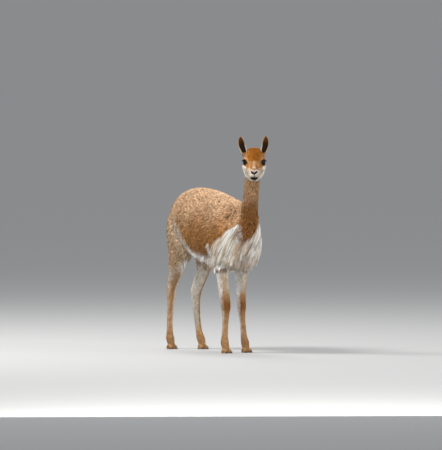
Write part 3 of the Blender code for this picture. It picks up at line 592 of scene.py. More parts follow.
def makeEar(side):
    rows, columns = 30, 19
    points, faces = [], []
    for r in range(rows):
        s = r / (rows - 1)
        half = (earForm["halfWidth"] - 0.001) * earSwell(s) + 0.0010
        bend = 2.30 * (1 - 0.70 * s**0.8)
        spineX = earSpine(s, side)
        spineY = 0.006 * math.sin(math.pi * s)
        radius = half / max(math.sin(min(bend, math.pi / 2)), 0.2)
        for c in range(columns):
            turn = (-1 + 2 * c / (columns - 1)) * bend
            x, y = spineX + radius * math.sin(turn), spineY + radius * (math.cos(turn) - 1)
            points.append((x, y, s * earForm["length"] * 0.985))
    for r in range(rows - 1):
        for c in range(columns - 1):
            a = r * columns + c
            faces.append((a, a + 1, a + columns + 1, a + columns))
    ear = newMesh("ear", points, faces)
    finishWith(ear, "SOLIDIFY", thickness=earForm["wall"], offset=0.0)
    outwards(ear)
    ear.data.transform(earPlace(side))
    return ear


def toeRing(y, half, low, high, x, count):
    ring = []
    for k in range(count):
        turn = 2 * math.pi * k / count
        side, up = math.cos(turn), math.sin(turn)
        rise = (high - low) * 0.42
        z = low + rise + (high - low - rise) * up if up > 0 else low + rise + rise * max(up * 1.6, -1.0)
        ring.append(Vector((x + half * side, y, z)))
    return ring


def makeFoot(name, side, stations):
    # The fetlock, two toes side by side, and a flat sole
    tucked = []
    for z, out, y, halfLong, halfWide in stations:
        if z < 0.14:
            slim = 0.7 if z > 0.095 else 1.0  # its top end stays hidden in the leg
            tucked.append((z, out, y, halfLong * slim, halfWide * slim))
    forms = [makeLimb("fetlock", side, tucked, animal["legDepth"])]
    heelY = stations[-1][2] + footForm["heelBehind"]
    nails = []
    nailReach = footForm["nailLength"] + 0.003  # with what the toe hides
    for way, where in ((-1, "Inner"), (1, "Outer")):
        x = side * stations[-1][1] + side * way * footForm["spread"]
        lean = side * way * 0.003
        rings = []
        for k in range(16):
            share = k / 15
            half, high = through(footForm["toeStations"], share)
            y = heelY - footForm["length"] * share
            rings.append(toeRing(y, footForm["halfWidth"] * half - 0.0004, 0.0, high, x + lean * share, 20))
        forms.append(loft("toe", rings))
        rings = []
        start = heelY - footForm["length"] - footForm["gap"] + 0.003
        for k in range(9):
            share = k / 8
            half, high = through(footForm["nailStations"], share)
            y = start - nailReach * share
            low = 0.0006 + 0.0008 * (1 - share)
            across = x + lean * (1 + 0.3 * share)
            rings.append(toeRing(y, footForm["nailHalfWidth"] * half, low, high, across, 16))
        nails.append(loft("nail" + name[4:] + where, rings))
    foot = joined(forms, name)
    finishWith(foot, "REMESH", mode="VOXEL", voxel_size=animal["footVoxel"], adaptivity=0.0)
    finishWith(foot, "SMOOTH", factor=0.5, iterations=3)
    return foot, nails


bodyParts = [makeTorso(), makeNeck(), makeTailCore()]
for limbName, (limbSide, limbRows) in legForms.items():
    depth = 0.006 if limbName.startswith("ham") else animal["legDepth"]
    bodyParts.append(makeLimb(limbName, limbSide, limbRows, depth))
skin = joined(bodyParts, "skin")
finishWith(skin, "REMESH", mode="VOXEL", voxel_size=animal["skinVoxel"], adaptivity=0.0)
finishWith(skin, "SMOOTH", factor=0.5, iterations=10)
print("body form made", len(skin.data.polygons))

headSkin = makeHead()
ears = {side: makeEar(side) for side in (-1, 1)}
print("head made", len(headSkin.data.polygons))

feet, nails = [], []
for limbName in ("hindRight", "hindLeft", "frontRight", "frontLeft"):
    limbSide, limbRows = legForms[limbName]
    foot, itsNails = makeFoot("foot" + limbName[0].upper() + limbName[1:], limbSide, limbRows)
    feet.append(foot)
    nails.extend(itsNails)
print("feet made")


def surfaceOf(obj):
    shape = bmesh.new()
    shape.from_mesh(obj.data)
    tree = BVHTree.FromBMesh(shape)
    shape.free()
    return tree


headTree = surfaceOf(headSkin)
earTrees = {side: surfaceOf(ear) for side, ear in ears.items()}
cutBy(skin, [headSkin, ears[-1], ears[1], *feet], "UNION")
skinTree = surfaceOf(skin)
skin.data.transform(Matrix.Translation(shift))
for nail in nails:
    nail.data.transform(Matrix.Translation(shift))
print("skin joined", len(skin.data.polygons))


# The surface of the skin as arrays, in the animal's own axes

def arraysOf(mesh):
    mesh.calc_loop_triangles()
    points = np.empty(len(mesh.vertices) * 3)
    mesh.vertices.foreach_get("co", points)
    normals = np.empty(len(mesh.vertices) * 3)
    mesh.vertices.foreach_get("normal", normals)
    corners = np.empty(len(mesh.loop_triangles) * 3, dtype=np.int32)
    mesh.loop_triangles.foreach_get("vertices", corners)
    return points.reshape(-1, 3), normals.reshape(-1, 3), corners.reshape(-1, 3)


def unit(vectors):
    return vectors / np.maximum(np.linalg.norm(vectors, axis=-1, keepdims=True), 1e-9)


def ramp(values, low, high):
    s = np.clip((values - low) / (high - low), 0.0, 1.0)
    return s * s * (3 - 2 * s)


def blendTo(base, other, share):
    return base + (other - base) * share[:, None]


def bell(*offsets):
    # 1 in the middle, about a third where an offset reaches 1
    return np.exp(-sum(offset**2 for offset in offsets))


def wobble(points, size, seed):
    # A smooth pattern of about -1 to 1, its lumps about size across
    draw = np.random.default_rng(seed)
    total = np.zeros(len(points))
    for _ in range(7):
        direction = unit(draw.normal(size=3)) * (2 * math.pi / size) * draw.uniform(0.6, 1.5)
        total += np.sin(points @ direction + draw.uniform(0, 2 * math.pi))
    return total / 3.2


def hexToLinear(text):
    parts = [int(text[k:k + 2], 16) / 255 for k in (1, 3, 5)]
    return np.array([c / 12.92 if c <= 0.04045 else ((c + 0.055) / 1.055) ** 2.4 for c in parts])


coatColours = {
    "back": "#B79676",
    "flank": "#9E7142",
    "lowFlank": "#89643E",
    "rump": "#A3774C",
    "thighRear": "#9E673A",
    "neck": "#AE8B69",
    "neckLow": "#8E6035",
    "white": "#F6F4F0",
    "cream": "#D6C7B0",
    "thigh": "#B79C7D",
    "thighLight": "#C8C2B8",
    "stifle": "#7A6245",
    "shank": "#BE966A",
    "paleLeg": "#DED4C6",
    "knee": "#8F561F",
    "foot": "#B58C60",
    "crown": "#AE722B",
    "brow": "#8F5111",
    "bridge": "#CCA67C",
    "muzzle": "#D0C1AE",
    "cheek": "#C6AF92",
    "earBack": "#BD9060",
    "earRim": "#E0CCAC",
    "earInside": "#2E1D12",
    "dark": "#120C09",
    "lip": "#1E1A17",
    "tan": "#A8895F",
}
# Heights, and where along the body the white of the chest begins at each
chestEdge = (
    (0.45, 0.50, 0.5445, 0.583, 0.61, 0.638, 0.6655, 0.6875, 0.71, 0.725),
    (-0.194, -0.228, -0.231, -0.244, -0.260, -0.284, -0.310, -0.330, -0.362, -0.405),
)
# Heights, and where along the body the flank folds into the thigh at each
flankFold = (
    (0.50, 0.5555, 0.594, 0.638, 0.693, 0.75, 0.80),
    (-0.05, -0.02, 0.0, 0.037, 0.07, 0.125, 0.17),
)
tone = {name: hexToLinear(text) for name, text in coatColours.items()}


class Region:
    # Where each point lies: on the head, on an ear, and its place in the head's frame
    def __init__(self, points):
        count = len(points)
        self.onHead = np.zeros(count)
        self.onEar = np.zeros(count)
        self.earSide = np.zeros(count)
        inverse = np.array(headMatrix.inverted())
        self.local = points @ inverse[:3, :3].T + inverse[:3, 3]
        for k in np.nonzero(points[:, 2] > 0.93)[0]:
            place = Vector(points[k])
            if headTree.find_nearest(place, 0.004)[0] is not None:
                self.onHead[k] = 1.0
            for side, tree in earTrees.items():
                if tree.find_nearest(place, 0.0012)[0] is not None and self.local[k, 2] > 0.045:
                    self.onEar[k] = 1.0
                    self.earSide[k] = side


def eyeFrame(local, side):
    place = np.array(eyeMatrix(side).inverted())
    return local @ place[:3, :3].T + place[:3, 3]


def earFrame(points, side):
    place = earPlace(side)
    inverse = np.array(place.inverted())
    return points @ inverse[:3, :3].T + inverse[:3, 3], np.array(place)[:3, :3]


def neckShareOf(points):
    return ramp(points[:, 2] - 0.9 * (points[:, 1] + 0.395), 0.745, 0.815)


def bodyMarkingsWithPaintedLight(points, normals):
    x, y, z = points.T
    out, outer = np.abs(x), normals[:, 0] * np.sign(x)
    broad = wobble(points, 0.16, 3)
    ragged = wobble(points, 0.045, 4) * 0.6 + wobble(points, 0.018, 5) * 0.4
    count = len(points)
    colour = np.tile(tone["back"], (count, 1))
    colour = blendTo(colour, tone["flank"], 1 - ramp(z + 0.02 * broad, 0.64, 0.80))
    colour = blendTo(colour, tone["lowFlank"], 1 - ramp(z + 0.015 * ragged, 0.54, 0.62))
    colour = blendTo(colour, tone["rump"], ramp(y, 0.20, 0.33) * ramp(z, 0.5, 0.65))
    onNeck = neckShareOf(points)
    colour = blendTo(colour, tone["neck"], onNeck)
    colour = blendTo(colour, tone["neckLow"], onNeck * (1 - ramp(z + 0.01 * ragged, 0.77, 0.90)))
    # The neck is paled where it turns to the animal's left and back: a painted rim highlight
    neckRimHighlight = ramp(0.87 * normals[:, 0] + 0.5 * normals[:, 1] + 0.1 * ragged, 0.86, 1.0)
    colour = blendTo(colour, tone["cream"], onNeck * neckRimHighlight * 0.7)
    # The brown of the neck runs down into the white of the chest as a tongue
    tongue = 1 - ramp(np.abs(x + 0.012) + 0.006 * ragged, 0.030, 0.056)
    tongue *= ramp(z + 0.022 * ragged, 0.590, 0.645)
    neckAxis = np.interp(z, [row[1] for row in neckForm[:6]], [row[0] for row in neckForm[:6]])
    tongue *= (1 - ramp(y - neckAxis, -0.020, 0.010)) * (1 - ramp(z, 0.76, 0.84))
    colour = blendTo(colour, tone["neckLow"], tongue)
    # White chest: ahead of a line that climbs from the elbow to the neck
    edge = np.interp(z, chestEdge[0], chestEdge[1]) + 0.007 * ragged
    chest = (1 - ramp(y, edge - 0.006, edge + 0.006)) * (1 - ramp(z + 0.01 * ragged, 0.715, 0.735))
    chest *= 1 - ramp(onNeck, 0.2, 0.6)
    # White belly and the fold of the flank, which runs up and back to the hip
    line = np.interp(y, (-0.24, -0.17, -0.10, -0.03), (0.49, 0.525, 0.530, 0.545))
    fold = np.interp(z, *flankFold)
    below = (1 - ramp(z + 0.014 * ragged, line - 0.016, line + 0.006)) * (1 - ramp(y - fold, 0.0, 0.05))
    strip = bell((y + 0.187 + 0.006 * ragged) / 0.016)
    strip *= (1 - ramp(z + 0.02 * ragged, 0.595, 0.620)) * ramp(z, 0.46, 0.50)
    under = ramp(-normals[:, 2], 0.35, 0.75) * (1 - ramp(z, 0.55, 0.62))
    between = (1 - ramp(out, 0.040, 0.070)) * ramp(y, 0.16, 0.22) * (1 - ramp(z, 0.62, 0.68))
    white = np.maximum.reduce((below, chest * (1 - tongue), strip * 0.8, under, between))
    behind = y - fold
    strands = wobble(points * np.array((1.0, 1.0, 0.22)), 0.022, 12)
    light = ramp(behind + 0.010 * strands, 0.0, 0.030) * (1 - ramp(behind, 0.070, 0.170))
    light *= 1 - ramp(z, 0.66, 0.76)
    thigh = ramp(behind + 0.008 * strands, 0.0, 0.035) * (1 - ramp(z, 0.66, 0.80))
    colour = blendTo(colour, tone["thigh"], thigh * 0.9)
    colour = blendTo(colour, tone["thighLight"], np.clip(light * (0.50 + 0.40 * strands), 0, 1))
    colour = blendTo(colour, tone["thighRear"], ramp(y, 0.25, 0.32) * (1 - ramp(z, 0.60, 0.70)) * 0.8)
    # A small dark cleft in the wool on the right shoulder: painted shade
    shadedCleft = bell((y + 0.292) / 0.006, (z - 0.752) / 0.013) * (x < 0)
    colour = blendTo(colour, tone["dark"], shadedCleft * 0.85)
    # A darker brown-grey patch below the stifle: partly the coat's own brown, partly painted shade
    patch = bell((y - 0.107) / 0.024, (z - 0.500) / 0.020)
    colour = blendTo(colour, tone["white"], np.clip(white, 0, 1))
    colour = blendTo(colour, tone["stifle"], patch * 0.75)
    # Legs
    onLeg = 1 - ramp(z, 0.41, 0.49)
    hind = ramp(y, 0.0, 0.08)
    inner = ramp(-outer, -0.25, 0.45)
    leg = np.tile(tone["shank"], (count, 1))
    leg = blendTo(leg, tone["cream"], (1 - hind) * ramp(z, 0.305, 0.38) * 0.55)
    leg = blendTo(leg, tone["thigh"], hind * ramp(z, 0.33, 0.42) * 0.80)
    knee = (1 - hind) * bell((z - 0.262) / 0.044)
    leg = blendTo(leg, tone["knee"], np.clip(knee + 0.15 * ragged * knee, 0, 1) * 0.85)
    hock = hind * bell((z - 0.315) / 0.030)
    leg = blendTo(leg, tone["knee"], hock * 0.25)
    facingAhead = ramp(-normals[:, 1], 0.1, 0.7)
    pale = inner * ramp(z, 0.09, 0.16) * (0.35 + 0.55 * hind)
    pale *= 1 - facingAhead * (1 - hind) * (1 - ramp(z, 0.33, 0.37))
    pale += (1 - hind) * ramp(-outer, -0.5, 0.2) * ramp(z, 0.32, 0.38) * (0.30 + 0.65 * (x > 0))
    leg = blendTo(leg, tone["paleLeg"], np.clip(pale, 0, 0.95))
    # The legs are whitened where they turn sideways, on both edges: a painted rim highlight
    legRimHighlight = ramp(np.abs(outer) + 0.1 * ragged, 0.78, 0.97) * (0.35 + 0.35 * ramp(z, 0.28, 0.34))
    legRimHighlight *= ramp(z, 0.08, 0.14) * (1 - 0.55 * hind)
    leg = blendTo(leg, tone["white"], legRimHighlight)
    leg = blendTo(leg, tone["foot"], 1 - ramp(z, 0.05, 0.12))
    elbow = (1 - hind) * bell((z - 0.460) / 0.016) * ramp(outer - normals[:, 1], 0.2, 0.7)
    elbow *= 1 - ramp(y, -0.22, -0.19)
    colour = colour + (leg - colour) * onLeg[:, None]
    colour = blendTo(colour, tone["lowFlank"], elbow * 0.85)
    shade = 1 + 0.05 * broad + 0.05 * ragged
    return colour * shade[:, None]


def eyeOval(local, side):
    ex, ey, ez = eyeFrame(local, side).T
    near = (ez > 0) & (local[:, 0] * side > 0)
    halfLong, halfHigh = headForm["oval"]
    return ex, ey, near, np.sqrt((ex / halfLong) ** 2 + (ey / halfHigh) ** 2)


def nostrilReach(local):
    # Below 1 inside either slanting nostril
    x, y, z = local.T
    out = np.abs(x)
    along = (out - 0.0095) * 0.80 + (z + 0.0225) * 0.60
    across = (z + 0.0225) * 0.80 - (out - 0.0095) * 0.60
    return np.sqrt((along / 0.0105) ** 2 + (across / 0.0050) ** 2 + ((-y - 0.120) / 0.013) ** 2)


def mouthOffset(local):
    x, y, z = local.T
    return z - mouthLine(np.cos(np.arctan2(np.abs(x), -y - headForm["mouthCentre"])))


def headMarkingsWithPaintedLight(local):
    x, y, z = local.T
    out, ahead = np.abs(x), -y
    ragged = wobble(local, 0.018, 6) * 0.6 + wobble(local, 0.007, 7) * 0.4
    colour = np.tile(tone["cheek"], (len(local), 1))
    # Cinnamon over the crown and down the bridge of the nose to the nostrils
    line = np.interp(
        out, (0.0, 0.012, 0.022, 0.034, 0.046, 0.060), (-0.030, -0.020, -0.012, -0.016, -0.014, -0.008)
    )
    line = np.where(ahead < -0.02, np.minimum(line, -0.016), line)
    crown = ramp(z + 0.004 * ragged, line - 0.005, line + 0.006)
    colour = blendTo(colour, tone["crown"], crown)
    high = ramp(z + 0.006 * ragged, 0.002, 0.022) * bell(out / 0.034) * ramp(ahead, -0.06, -0.01)
    high *= 1 - ramp(ahead + 0.008 * ragged, 0.050, 0.074)
    colour = blendTo(colour, tone["brow"], np.clip(high * (0.75 + 0.25 * ragged), 0, 1))
    sides = ramp(out, 0.030, 0.044) * ramp(z, 0.018, 0.030) * (1 - ramp(z, 0.042, 0.055))
    sides *= ramp(ahead, -0.04, -0.01)
    colour = blendTo(colour, tone["bridge"], sides * 0.35)
    stripe = bell(out / 0.011) * ramp(ahead, 0.046, 0.066) * (1 - ramp(ahead, 0.100, 0.112))
    colour = blendTo(colour, tone["bridge"], stripe * 0.9)
    flanks = bell((out - 0.024) / 0.008) * ramp(ahead, 0.036, 0.058) * crown
    colour = blendTo(colour, tone["bridge"], np.clip(flanks * (0.6 + 0.4 * ragged), 0, 1))
    # A small pale spot on top of the nose near its end: a painted highlight
    tip = bell(out / 0.006, (ahead - 0.098) / 0.008) * ramp(z, -0.03, -0.01)
    colour = blendTo(colour, tone["cream"], tip * 0.8)
    spots = bell((out - 0.0135) / 0.005, (ahead - 0.086) / 0.016) * crown
    colour = blendTo(colour, tone["brow"], spots * 0.55)
    under = bell((ahead - 0.020) / 0.012, (z + 0.018) / 0.008) * ramp(out, 0.025, 0.035)
    colour = blendTo(colour, tone["crown"], under * 0.6)
    muzzle = ramp(ahead + 0.003 * ragged, 0.060, 0.080) * (1 - crown)
    colour = blendTo(colour, tone["muzzle"], muzzle)
    mottled = ramp(wobble(local, 0.012, 8), 0.1, 0.8) * ramp(ahead, 0.01, 0.03)
    mottled *= (1 - ramp(ahead, 0.075, 0.095)) * (1 - crown)
    colour = blendTo(colour, tone["bridge"], mottled * 0.55)
    edge = ramp(out, 0.040, 0.050) * (1 - ramp(z + 0.003 * ragged, -0.022, -0.010))
    throat = np.maximum(ramp(-z + 0.003 * ragged, 0.040, 0.054) * (1 - ramp(ahead, 0.05, 0.08)), edge)
    colour = blendTo(colour, tone["white"], throat * (1 - ramp(-ahead, 0.07, 0.09)))
    around = bell((nostrilReach(local) - 1.7) / 0.45) * ramp(ahead, 0.10, 0.11)
    colour = blendTo(colour, tone["white"], around * 0.8)
    for side in (-1, 1):
        ex, ey, near, oval = eyeOval(local, side)
        pale = near * bell((oval - 1.95) / 0.30) * ((ey > 0) | (ex * side > 0.006))
        colour = blendTo(colour, tone["bridge"], pale * 0.5)
        streak = near * bell((ex * -side - 0.021) / 0.008, (ey - 0.002) / 0.0045)
        colour = blendTo(colour, tone["dark"], streak * 0.9)
        tear = near * bell((ex * side - 0.019) / 0.007, (ey + 0.006) / 0.0045)
        colour = blendTo(colour, tone["dark"], np.clip(tear, 0, 1) * 0.85)
        colour = blendTo(colour, tone["dark"], near * (1 - ramp(oval, 1.30, 1.60)))
    # Bare dark skin of the nostrils and lips
    colour = blendTo(colour, tone["dark"], 1 - ramp(nostrilReach(local), 1.05, 1.40))
    cleft = (1 - ramp(out, 0.0020, 0.0042)) * ramp(ahead, 0.106, 0.112)
    cleft *= 1 - ramp(np.abs(z + 0.040), 0.012, 0.017)
    colour = blendTo(colour, tone["dark"], cleft)
    lip = mouthOffset(local)
    reach = 0.0105 * np.clip(1 - (out / 0.020) ** 2, 0, 1) ** 0.5
    lips = (1 - ramp(np.abs(lip + 0.0015), reach, reach + 0.0022)) * ramp(ahead, 0.088, 0.100) * (out < 0.021)
    colour = blendTo(colour, tone["lip"], lips)
    parted = (1 - ramp(np.abs(lip), 0.0018, 0.0034)) * (1 - ramp(out, 0.018, 0.023))
    parted *= ramp(ahead, 0.080, 0.092)
    colour = blendTo(colour, tone["dark"], parted)
    return colour * (1 + 0.05 * ragged)[:, None]


def earMarkings(points, normals, region):
    colour = np.tile(tone["earBack"], (len(points), 1))
    for side in (-1, 1):
        mine = region.earSide == side
        place, turn = earFrame(points, side)
        facing = (normals @ turn)[:, 1]
        s = np.clip(place[:, 2] / earForm["length"], 0, 1)
        across = np.abs(place[:, 0] - earSpine(s, side)) / (earForm["halfWidth"] * earSwell(s, 0.02))
        inside = ramp(-facing, 0.05, 0.45)
        mineColour = blendTo(colour, tone["earInside"], inside)
        mineColour = blendTo(mineColour, tone["knee"], inside * ramp(s, 0.55, 0.95) * 0.45)
        rim = ramp(across, 0.86, 0.98) * (0.35 + 0.45 * inside) * (1 - 0.45 * ramp(s, 0.3, 0.7))
        mineColour = blendTo(mineColour, tone["earRim"], np.clip(rim, 0, 1))
        inner = inside * bell((place[:, 0] * side + 0.011) / 0.0035)
        inner *= ramp(s, 0.10, 0.2) * (1 - ramp(s, 0.42, 0.58))
        mineColour = blendTo(mineColour, tone["cream"], inner * 0.75)
        mineColour = blendTo(mineColour, tone["crown"], (1 - ramp(s, 0.08, 0.22)) * (1 - inside) * 0.8)
        colour = np.where(mine[:, None], mineColour, colour)
    return colour


def markingsWithPaintedLight(points, normals, region):
    colour = bodyMarkingsWithPaintedLight(points, normals)
    head = headMarkingsWithPaintedLight(region.local)
    colour = np.where((region.onHead > 0)[:, None], head, colour)
    ear = earMarkings(points, normals, region)
    return np.clip(np.where((region.onEar > 0)[:, None], ear, colour), 0.004, 0.95)


def lieOf(points, normals, region):
    # The lie of the coat: back along the body, down the neck and legs, away from the nose on the head
    _, y, z = points.T
    flow = np.array((0.0, 1.0, -0.18))
    for share, way in (
        (1 - ramp(z, 0.58, 0.84), (0.0, 0.42, -1.0)),  # lower on the flank
        (ramp(y, 0.20, 0.34), (0.0, 0.25, -1.0)),  # the rump
        (1 - ramp(y, -0.33, -0.20), (0.0, 0.25, -1.0)),  # the chest
        (neckShareOf(points), (0.0, 0.16, -1.0)),
        (1 - ramp(z, 0.42, 0.50), (0.0, 0.12, -1.0)),  # the legs
    ):
        flow = flow * (1 - share[:, None]) + np.array(way) * share[:, None]
    turn = np.array(headMatrix)[:3, :3]
    local = region.local
    climb = np.interp(-local[:, 1], (-0.06, 0.02, 0.08, 0.12), (-0.75, 0.10, 0.35, 0.35))
    climb = climb * np.where(local[:, 2] > -0.02, 1.0, -1.0) - 0.5 * ramp(-local[:, 2], 0.02, 0.06)
    head = np.stack((local[:, 0] * 6.0, np.full(len(points), 1.0), climb), axis=1)
    flow = np.where((region.onHead > 0)[:, None], head @ turn.T, flow)
    for side in (-1, 1):
        _, earTurn = earFrame(points[:1], side)
        flow = np.where(((region.onEar > 0) & (region.earSide == side))[:, None], earTurn[:, 2], flow)
    flow = flow - normals * (flow * normals).sum(axis=1, keepdims=True)
    return unit(flow)


def nearestClump(points, centres):
    tree = kdtree.KDTree(len(centres))
    for k, centre in enumerate(centres):
        tree.insert(centre, k)
    tree.balance()
    return np.array([tree.find(point)[1] for point in points])


def weave(name, paths, outs, widths, colours, places, parts):
    # One mesh of strands, or several where a single one would be too large
    if parts == 1:
        return [weaveOne(name, paths, outs, widths, colours, places)]
    pieces = []
    for part in range(parts):
        rows = (array[part::parts] for array in (paths, outs, widths, colours, places))
        pieces.append(weaveOne(name + str(part + 1), *rows))
    return pieces


def weaveOne(name, paths, outs, widths, colours, places):
    # Three-sided strands from arrays: paths is strands x stations x 3, each strand ending in a point
    strands, stations = paths.shape[:2]
    rings = stations - 1
    along = unit(np.gradient(paths, axis=1))
    side = unit(np.cross(along, outs))
    out = unit(np.cross(side, along))
    w = widths[..., None]
    low = paths - out * w * 0.16
    section = np.stack((paths + out * w * 0.42, low + side * w * 0.5, low - side * w * 0.5), axis=2)
    perStrand = rings * 3 + 1
    points = np.empty((strands, perStrand, 3))
    points[:, :-1] = section[:, :rings].reshape(strands, rings * 3, 3)
    points[:, -1] = paths[:, -1]
    shades = np.ones((strands, perStrand, 4))
    shades[:, :-1, :3] = np.repeat(colours[:, :rings], 3, axis=1)
    shades[:, -1, :3] = colours[:, -1]
    sides = ((0, 1), (1, 2), (2, 0))
    quads = [(3 * r + k, 3 * r + n, 3 * r + 3 + n, 3 * r + 3 + k) for r in range(rings - 1) for k, n in sides]
    tips = [(3 * rings - 3 + k, 3 * rings - 3 + n, 3 * rings) for k, n in sides]
    pattern = np.array([v for face in quads + tips for v in face], dtype=np.int32)
    sizes = np.array([4] * len(quads) + [3] * len(tips), dtype=np.int32)
    loops = (pattern[None, :] + (np.arange(strands, dtype=np.int32) * perStrand)[:, None]).reshape(-1)
    totals = np.tile(sizes, strands)
    starts = np.concatenate(((0,), np.cumsum(totals)[:-1])).astype(np.int32)
    mesh = bpy.data.meshes.new(name)
    mesh.vertices.add(strands * perStrand)
    mesh.vertices.foreach_set("co", (points + np.array(shift)).astype(np.float32).reshape(-1))
    mesh.loops.add(len(loops))
    mesh.loops.foreach_set("vertex_index", loops)
    mesh.polygons.add(len(totals))
    mesh.polygons.foreach_set("loop_start", starts)
    mesh.polygons.foreach_set("use_smooth", np.ones(len(totals), dtype=bool))
    mesh.update(calc_edges=True)
    colour = mesh.attributes.new("coatColour", "FLOAT_COLOR", "POINT")
    colour.data.foreach_set("color", shades.astype(np.float32).reshape(-1))
    # Each strand is a small patch at its root's place on the unwrap
    halfPatch = 0.0014
    patch = np.zeros((perStrand, 2))
    for r in range(rings):
        for k, across in enumerate((0.0, 0.0013, -0.0013)):
            patch[3 * r + k] = (across, -halfPatch + 2 * halfPatch * r / rings)
    patch[-1] = (0.0, halfPatch)
    spots = (places[:, None, :] + patch[None]).reshape(-1, 2)
    layer = mesh.uv_layers.new(name="OFBake")
    layer.data.foreach_set("uv", spots[loops].astype(np.float32).reshape(-1))
    piece = bpy.data.objects.new(name, mesh)
    bpy.context.scene.collection.objects.link(piece)
    return piece


def unwrap(points, region):
    # The skin's own shape unwrapped: bands round the barrel, neck, head, ears and each leg
    x, y, z = points.T
    u = 0.5 + np.arctan2(x, z - 0.66) / (2 * math.pi)
    v = 0.02 + 0.38 * (y + 0.42) / 0.84
    neck = (z - 0.9 * (y + 0.395) > 0.75) & (y < -0.2)
    u = np.where(neck, 0.02 + 0.28 * (0.5 + np.arctan2(x, y + 0.43) / (2 * math.pi)), u)
    v = np.where(neck, 0.45 + 0.25 * (z - 0.70) / 0.40, v)
    leg = z < 0.49
    for k, (atX, hind) in enumerate(((-1, False), (1, False), (-1, True), (1, True))):
        mine = leg & (np.sign(x) == atX) & ((y > 0.04) == hind)
        centre = 0.29 if hind else -0.22
        around = 0.5 + np.arctan2(np.abs(x) - 0.068, y - centre) / (2 * math.pi)
        u = np.where(mine, 0.32 + 0.17 * k + 0.16 * around, u)
        v = np.where(mine, 0.45 + 0.25 * z / 0.49, v)
    head = region.onHead > 0
    local = region.local
    around = 0.5 + np.arctan2(local[:, 0], local[:, 2] + 0.02) / (2 * math.pi)
    u = np.where(head, 0.02 + 0.62 * around, u)
    v = np.where(head, 0.72 + 0.26 * (0.10 - local[:, 1]) / 0.24, v)
    ear = region.onEar > 0
    outward = np.clip((np.abs(local[:, 0]) - 0.03) / 0.08, 0, 1)
    u = np.where(ear, 0.70 + 0.14 * (region.earSide > 0) + 0.12 * outward, u)
    v = np.where(ear, 0.72 + 0.26 * np.clip((local[:, 2] - 0.02) / 0.16, 0, 1), v)
    return np.stack((np.clip(u, 0.002, 0.998), np.clip(v, 0.002, 0.998)), axis=1)


def scatter(points, normals, corners, density, draw):
    a, b, c = (points[corners[:, k]] for k in range(3))
    areas = np.linalg.norm(np.cross(b - a, c - a), axis=1) / 2
    weight = np.cumsum(areas * density)
    count = int(weight[-1])
    at = (np.arange(count) + draw.uniform(0, 1, count)) * weight[-1] / count
    chosen = np.clip(np.searchsorted(weight, at), 0, len(corners) - 1)
    r1, r2 = np.sqrt(draw.uniform(0, 1, count)), draw.uniform(0, 1, count)
    mix = np.stack((1 - r1, r1 * (1 - r2), r1 * r2), axis=1)
    picked = corners[chosen]
    spots = (points[picked] * mix[..., None]).sum(axis=1)
    facing = unit((normals[picked] * mix[..., None]).sum(axis=1))
    return spots, facing


# Ahead of the shoulder, in the hollow where the neck meets the body, the coat is lightened and its root shade
# evened out: painted light over shade
shoulderPaintedLight = {"y": -0.30, "z": 0.73, "halfLong": 0.06, "halfHigh": 0.08, "lighter": 0.65, "evener": 0.8}


def growTufts(name, spots, facing, region, look, draw, parts):
    count = len(spots)
    flow = lieOf(spots, facing, region)
    side = np.cross(flow, facing)
    flow = unit(flow + side * draw.normal(0, look["stray"], count)[:, None])
    _, y, z = spots.T
    longer = 1 + look["thighLonger"] * ramp(y, 0.02, 0.12) * (1 - ramp(z, 0.68, 0.78)) * ramp(z, 0.50, 0.60)
    shorter = 1 - look["legTaper"] * (1 - ramp(z, 0.42, 0.55))
    length = look["length"] * longer * shorter * draw.uniform(0.78, 1.18, count)
    width = look["width"] * draw.uniform(0.75, 1.2, count)
    centres = draw.permutation(count)[: max(int(count * look["clumpShare"]), 1)]
    clump = centres[nearestClump(spots, spots[centres])]
    shares = np.linspace(0, 1, look["stations"])
    phase = draw.uniform(0, 2 * math.pi, count)[clump]
    paths = np.empty((count, len(shares), 3))
    lift = look["rise"] * shorter * draw.uniform(0.70, 1.15, count)
    for k, s in enumerate(shares):
        rise = math.sin(math.pi * 0.60 * s)
        wave = look["curl"] * np.sin(2 * math.pi * 0.8 * s + phase) * s
        paths[:, k] = (
            spots
            + flow * (length * s)[:, None]
            + facing * (lift * rise - look["sink"] * (1 - s))[:, None]
            + side * (length * wave)[:, None]
        )
    pull = (look["pull"] * shares**1.3)[None, :, None]
    apart = np.linalg.norm(spots - spots[clump], axis=1)
    near = (apart < look["clumpReach"])[:, None, None]
    paths = paths + np.where(near, (paths[clump] - paths) * pull, 0)
    taper = np.interp(shares, (0, 0.4, 1), (0.85, 1.0, 0.25))
    widths = width[:, None] * taper[None]
    base = markingsWithPaintedLight(spots, facing, region)
    drawnOut = spots - flow * ((spots * flow).sum(axis=1, keepdims=True)) * 0.85
    own = 1 + draw.normal(0, look["mottle"], count) + draw.normal(0, look["clumpMottle"], count)[clump]
    onThigh = ramp(y, 0.04, 0.14) * (1 - ramp(z, 0.62, 0.72))
    own = own + look["streaks"] * wobble(drawnOut, 0.014, 9) * (0.4 + 1.4 * onThigh)
    # Painted light in the hollow ahead of the shoulder: lighter tufts with less root shade
    along, up = (y - shoulderPaintedLight["y"]) / shoulderPaintedLight["halfLong"], (z - shoulderPaintedLight["z"]) / shoulderPaintedLight["halfHigh"]
    paintedLightShare = bell(along, up)[:, None]
    own = own * (1 + shoulderPaintedLight["lighter"] * paintedLightShare[:, 0])
    shadeAlong = np.interp(shares, (0, 0.35, 1), (look["rootShade"], 0.92, look["tipShade"]))[None]
    shadeAlong = shadeAlong + (1 - shadeAlong) * shoulderPaintedLight["evener"] * paintedLightShare
    colours = np.clip(base[:, None, :] * own[:, None, None] * shadeAlong[..., None], 0.003, 0.95)
    outs = np.repeat(facing[:, None, :], len(shares), axis=1)
    return weave(name, paths, outs, widths, colours, unwrap(spots, region), parts)


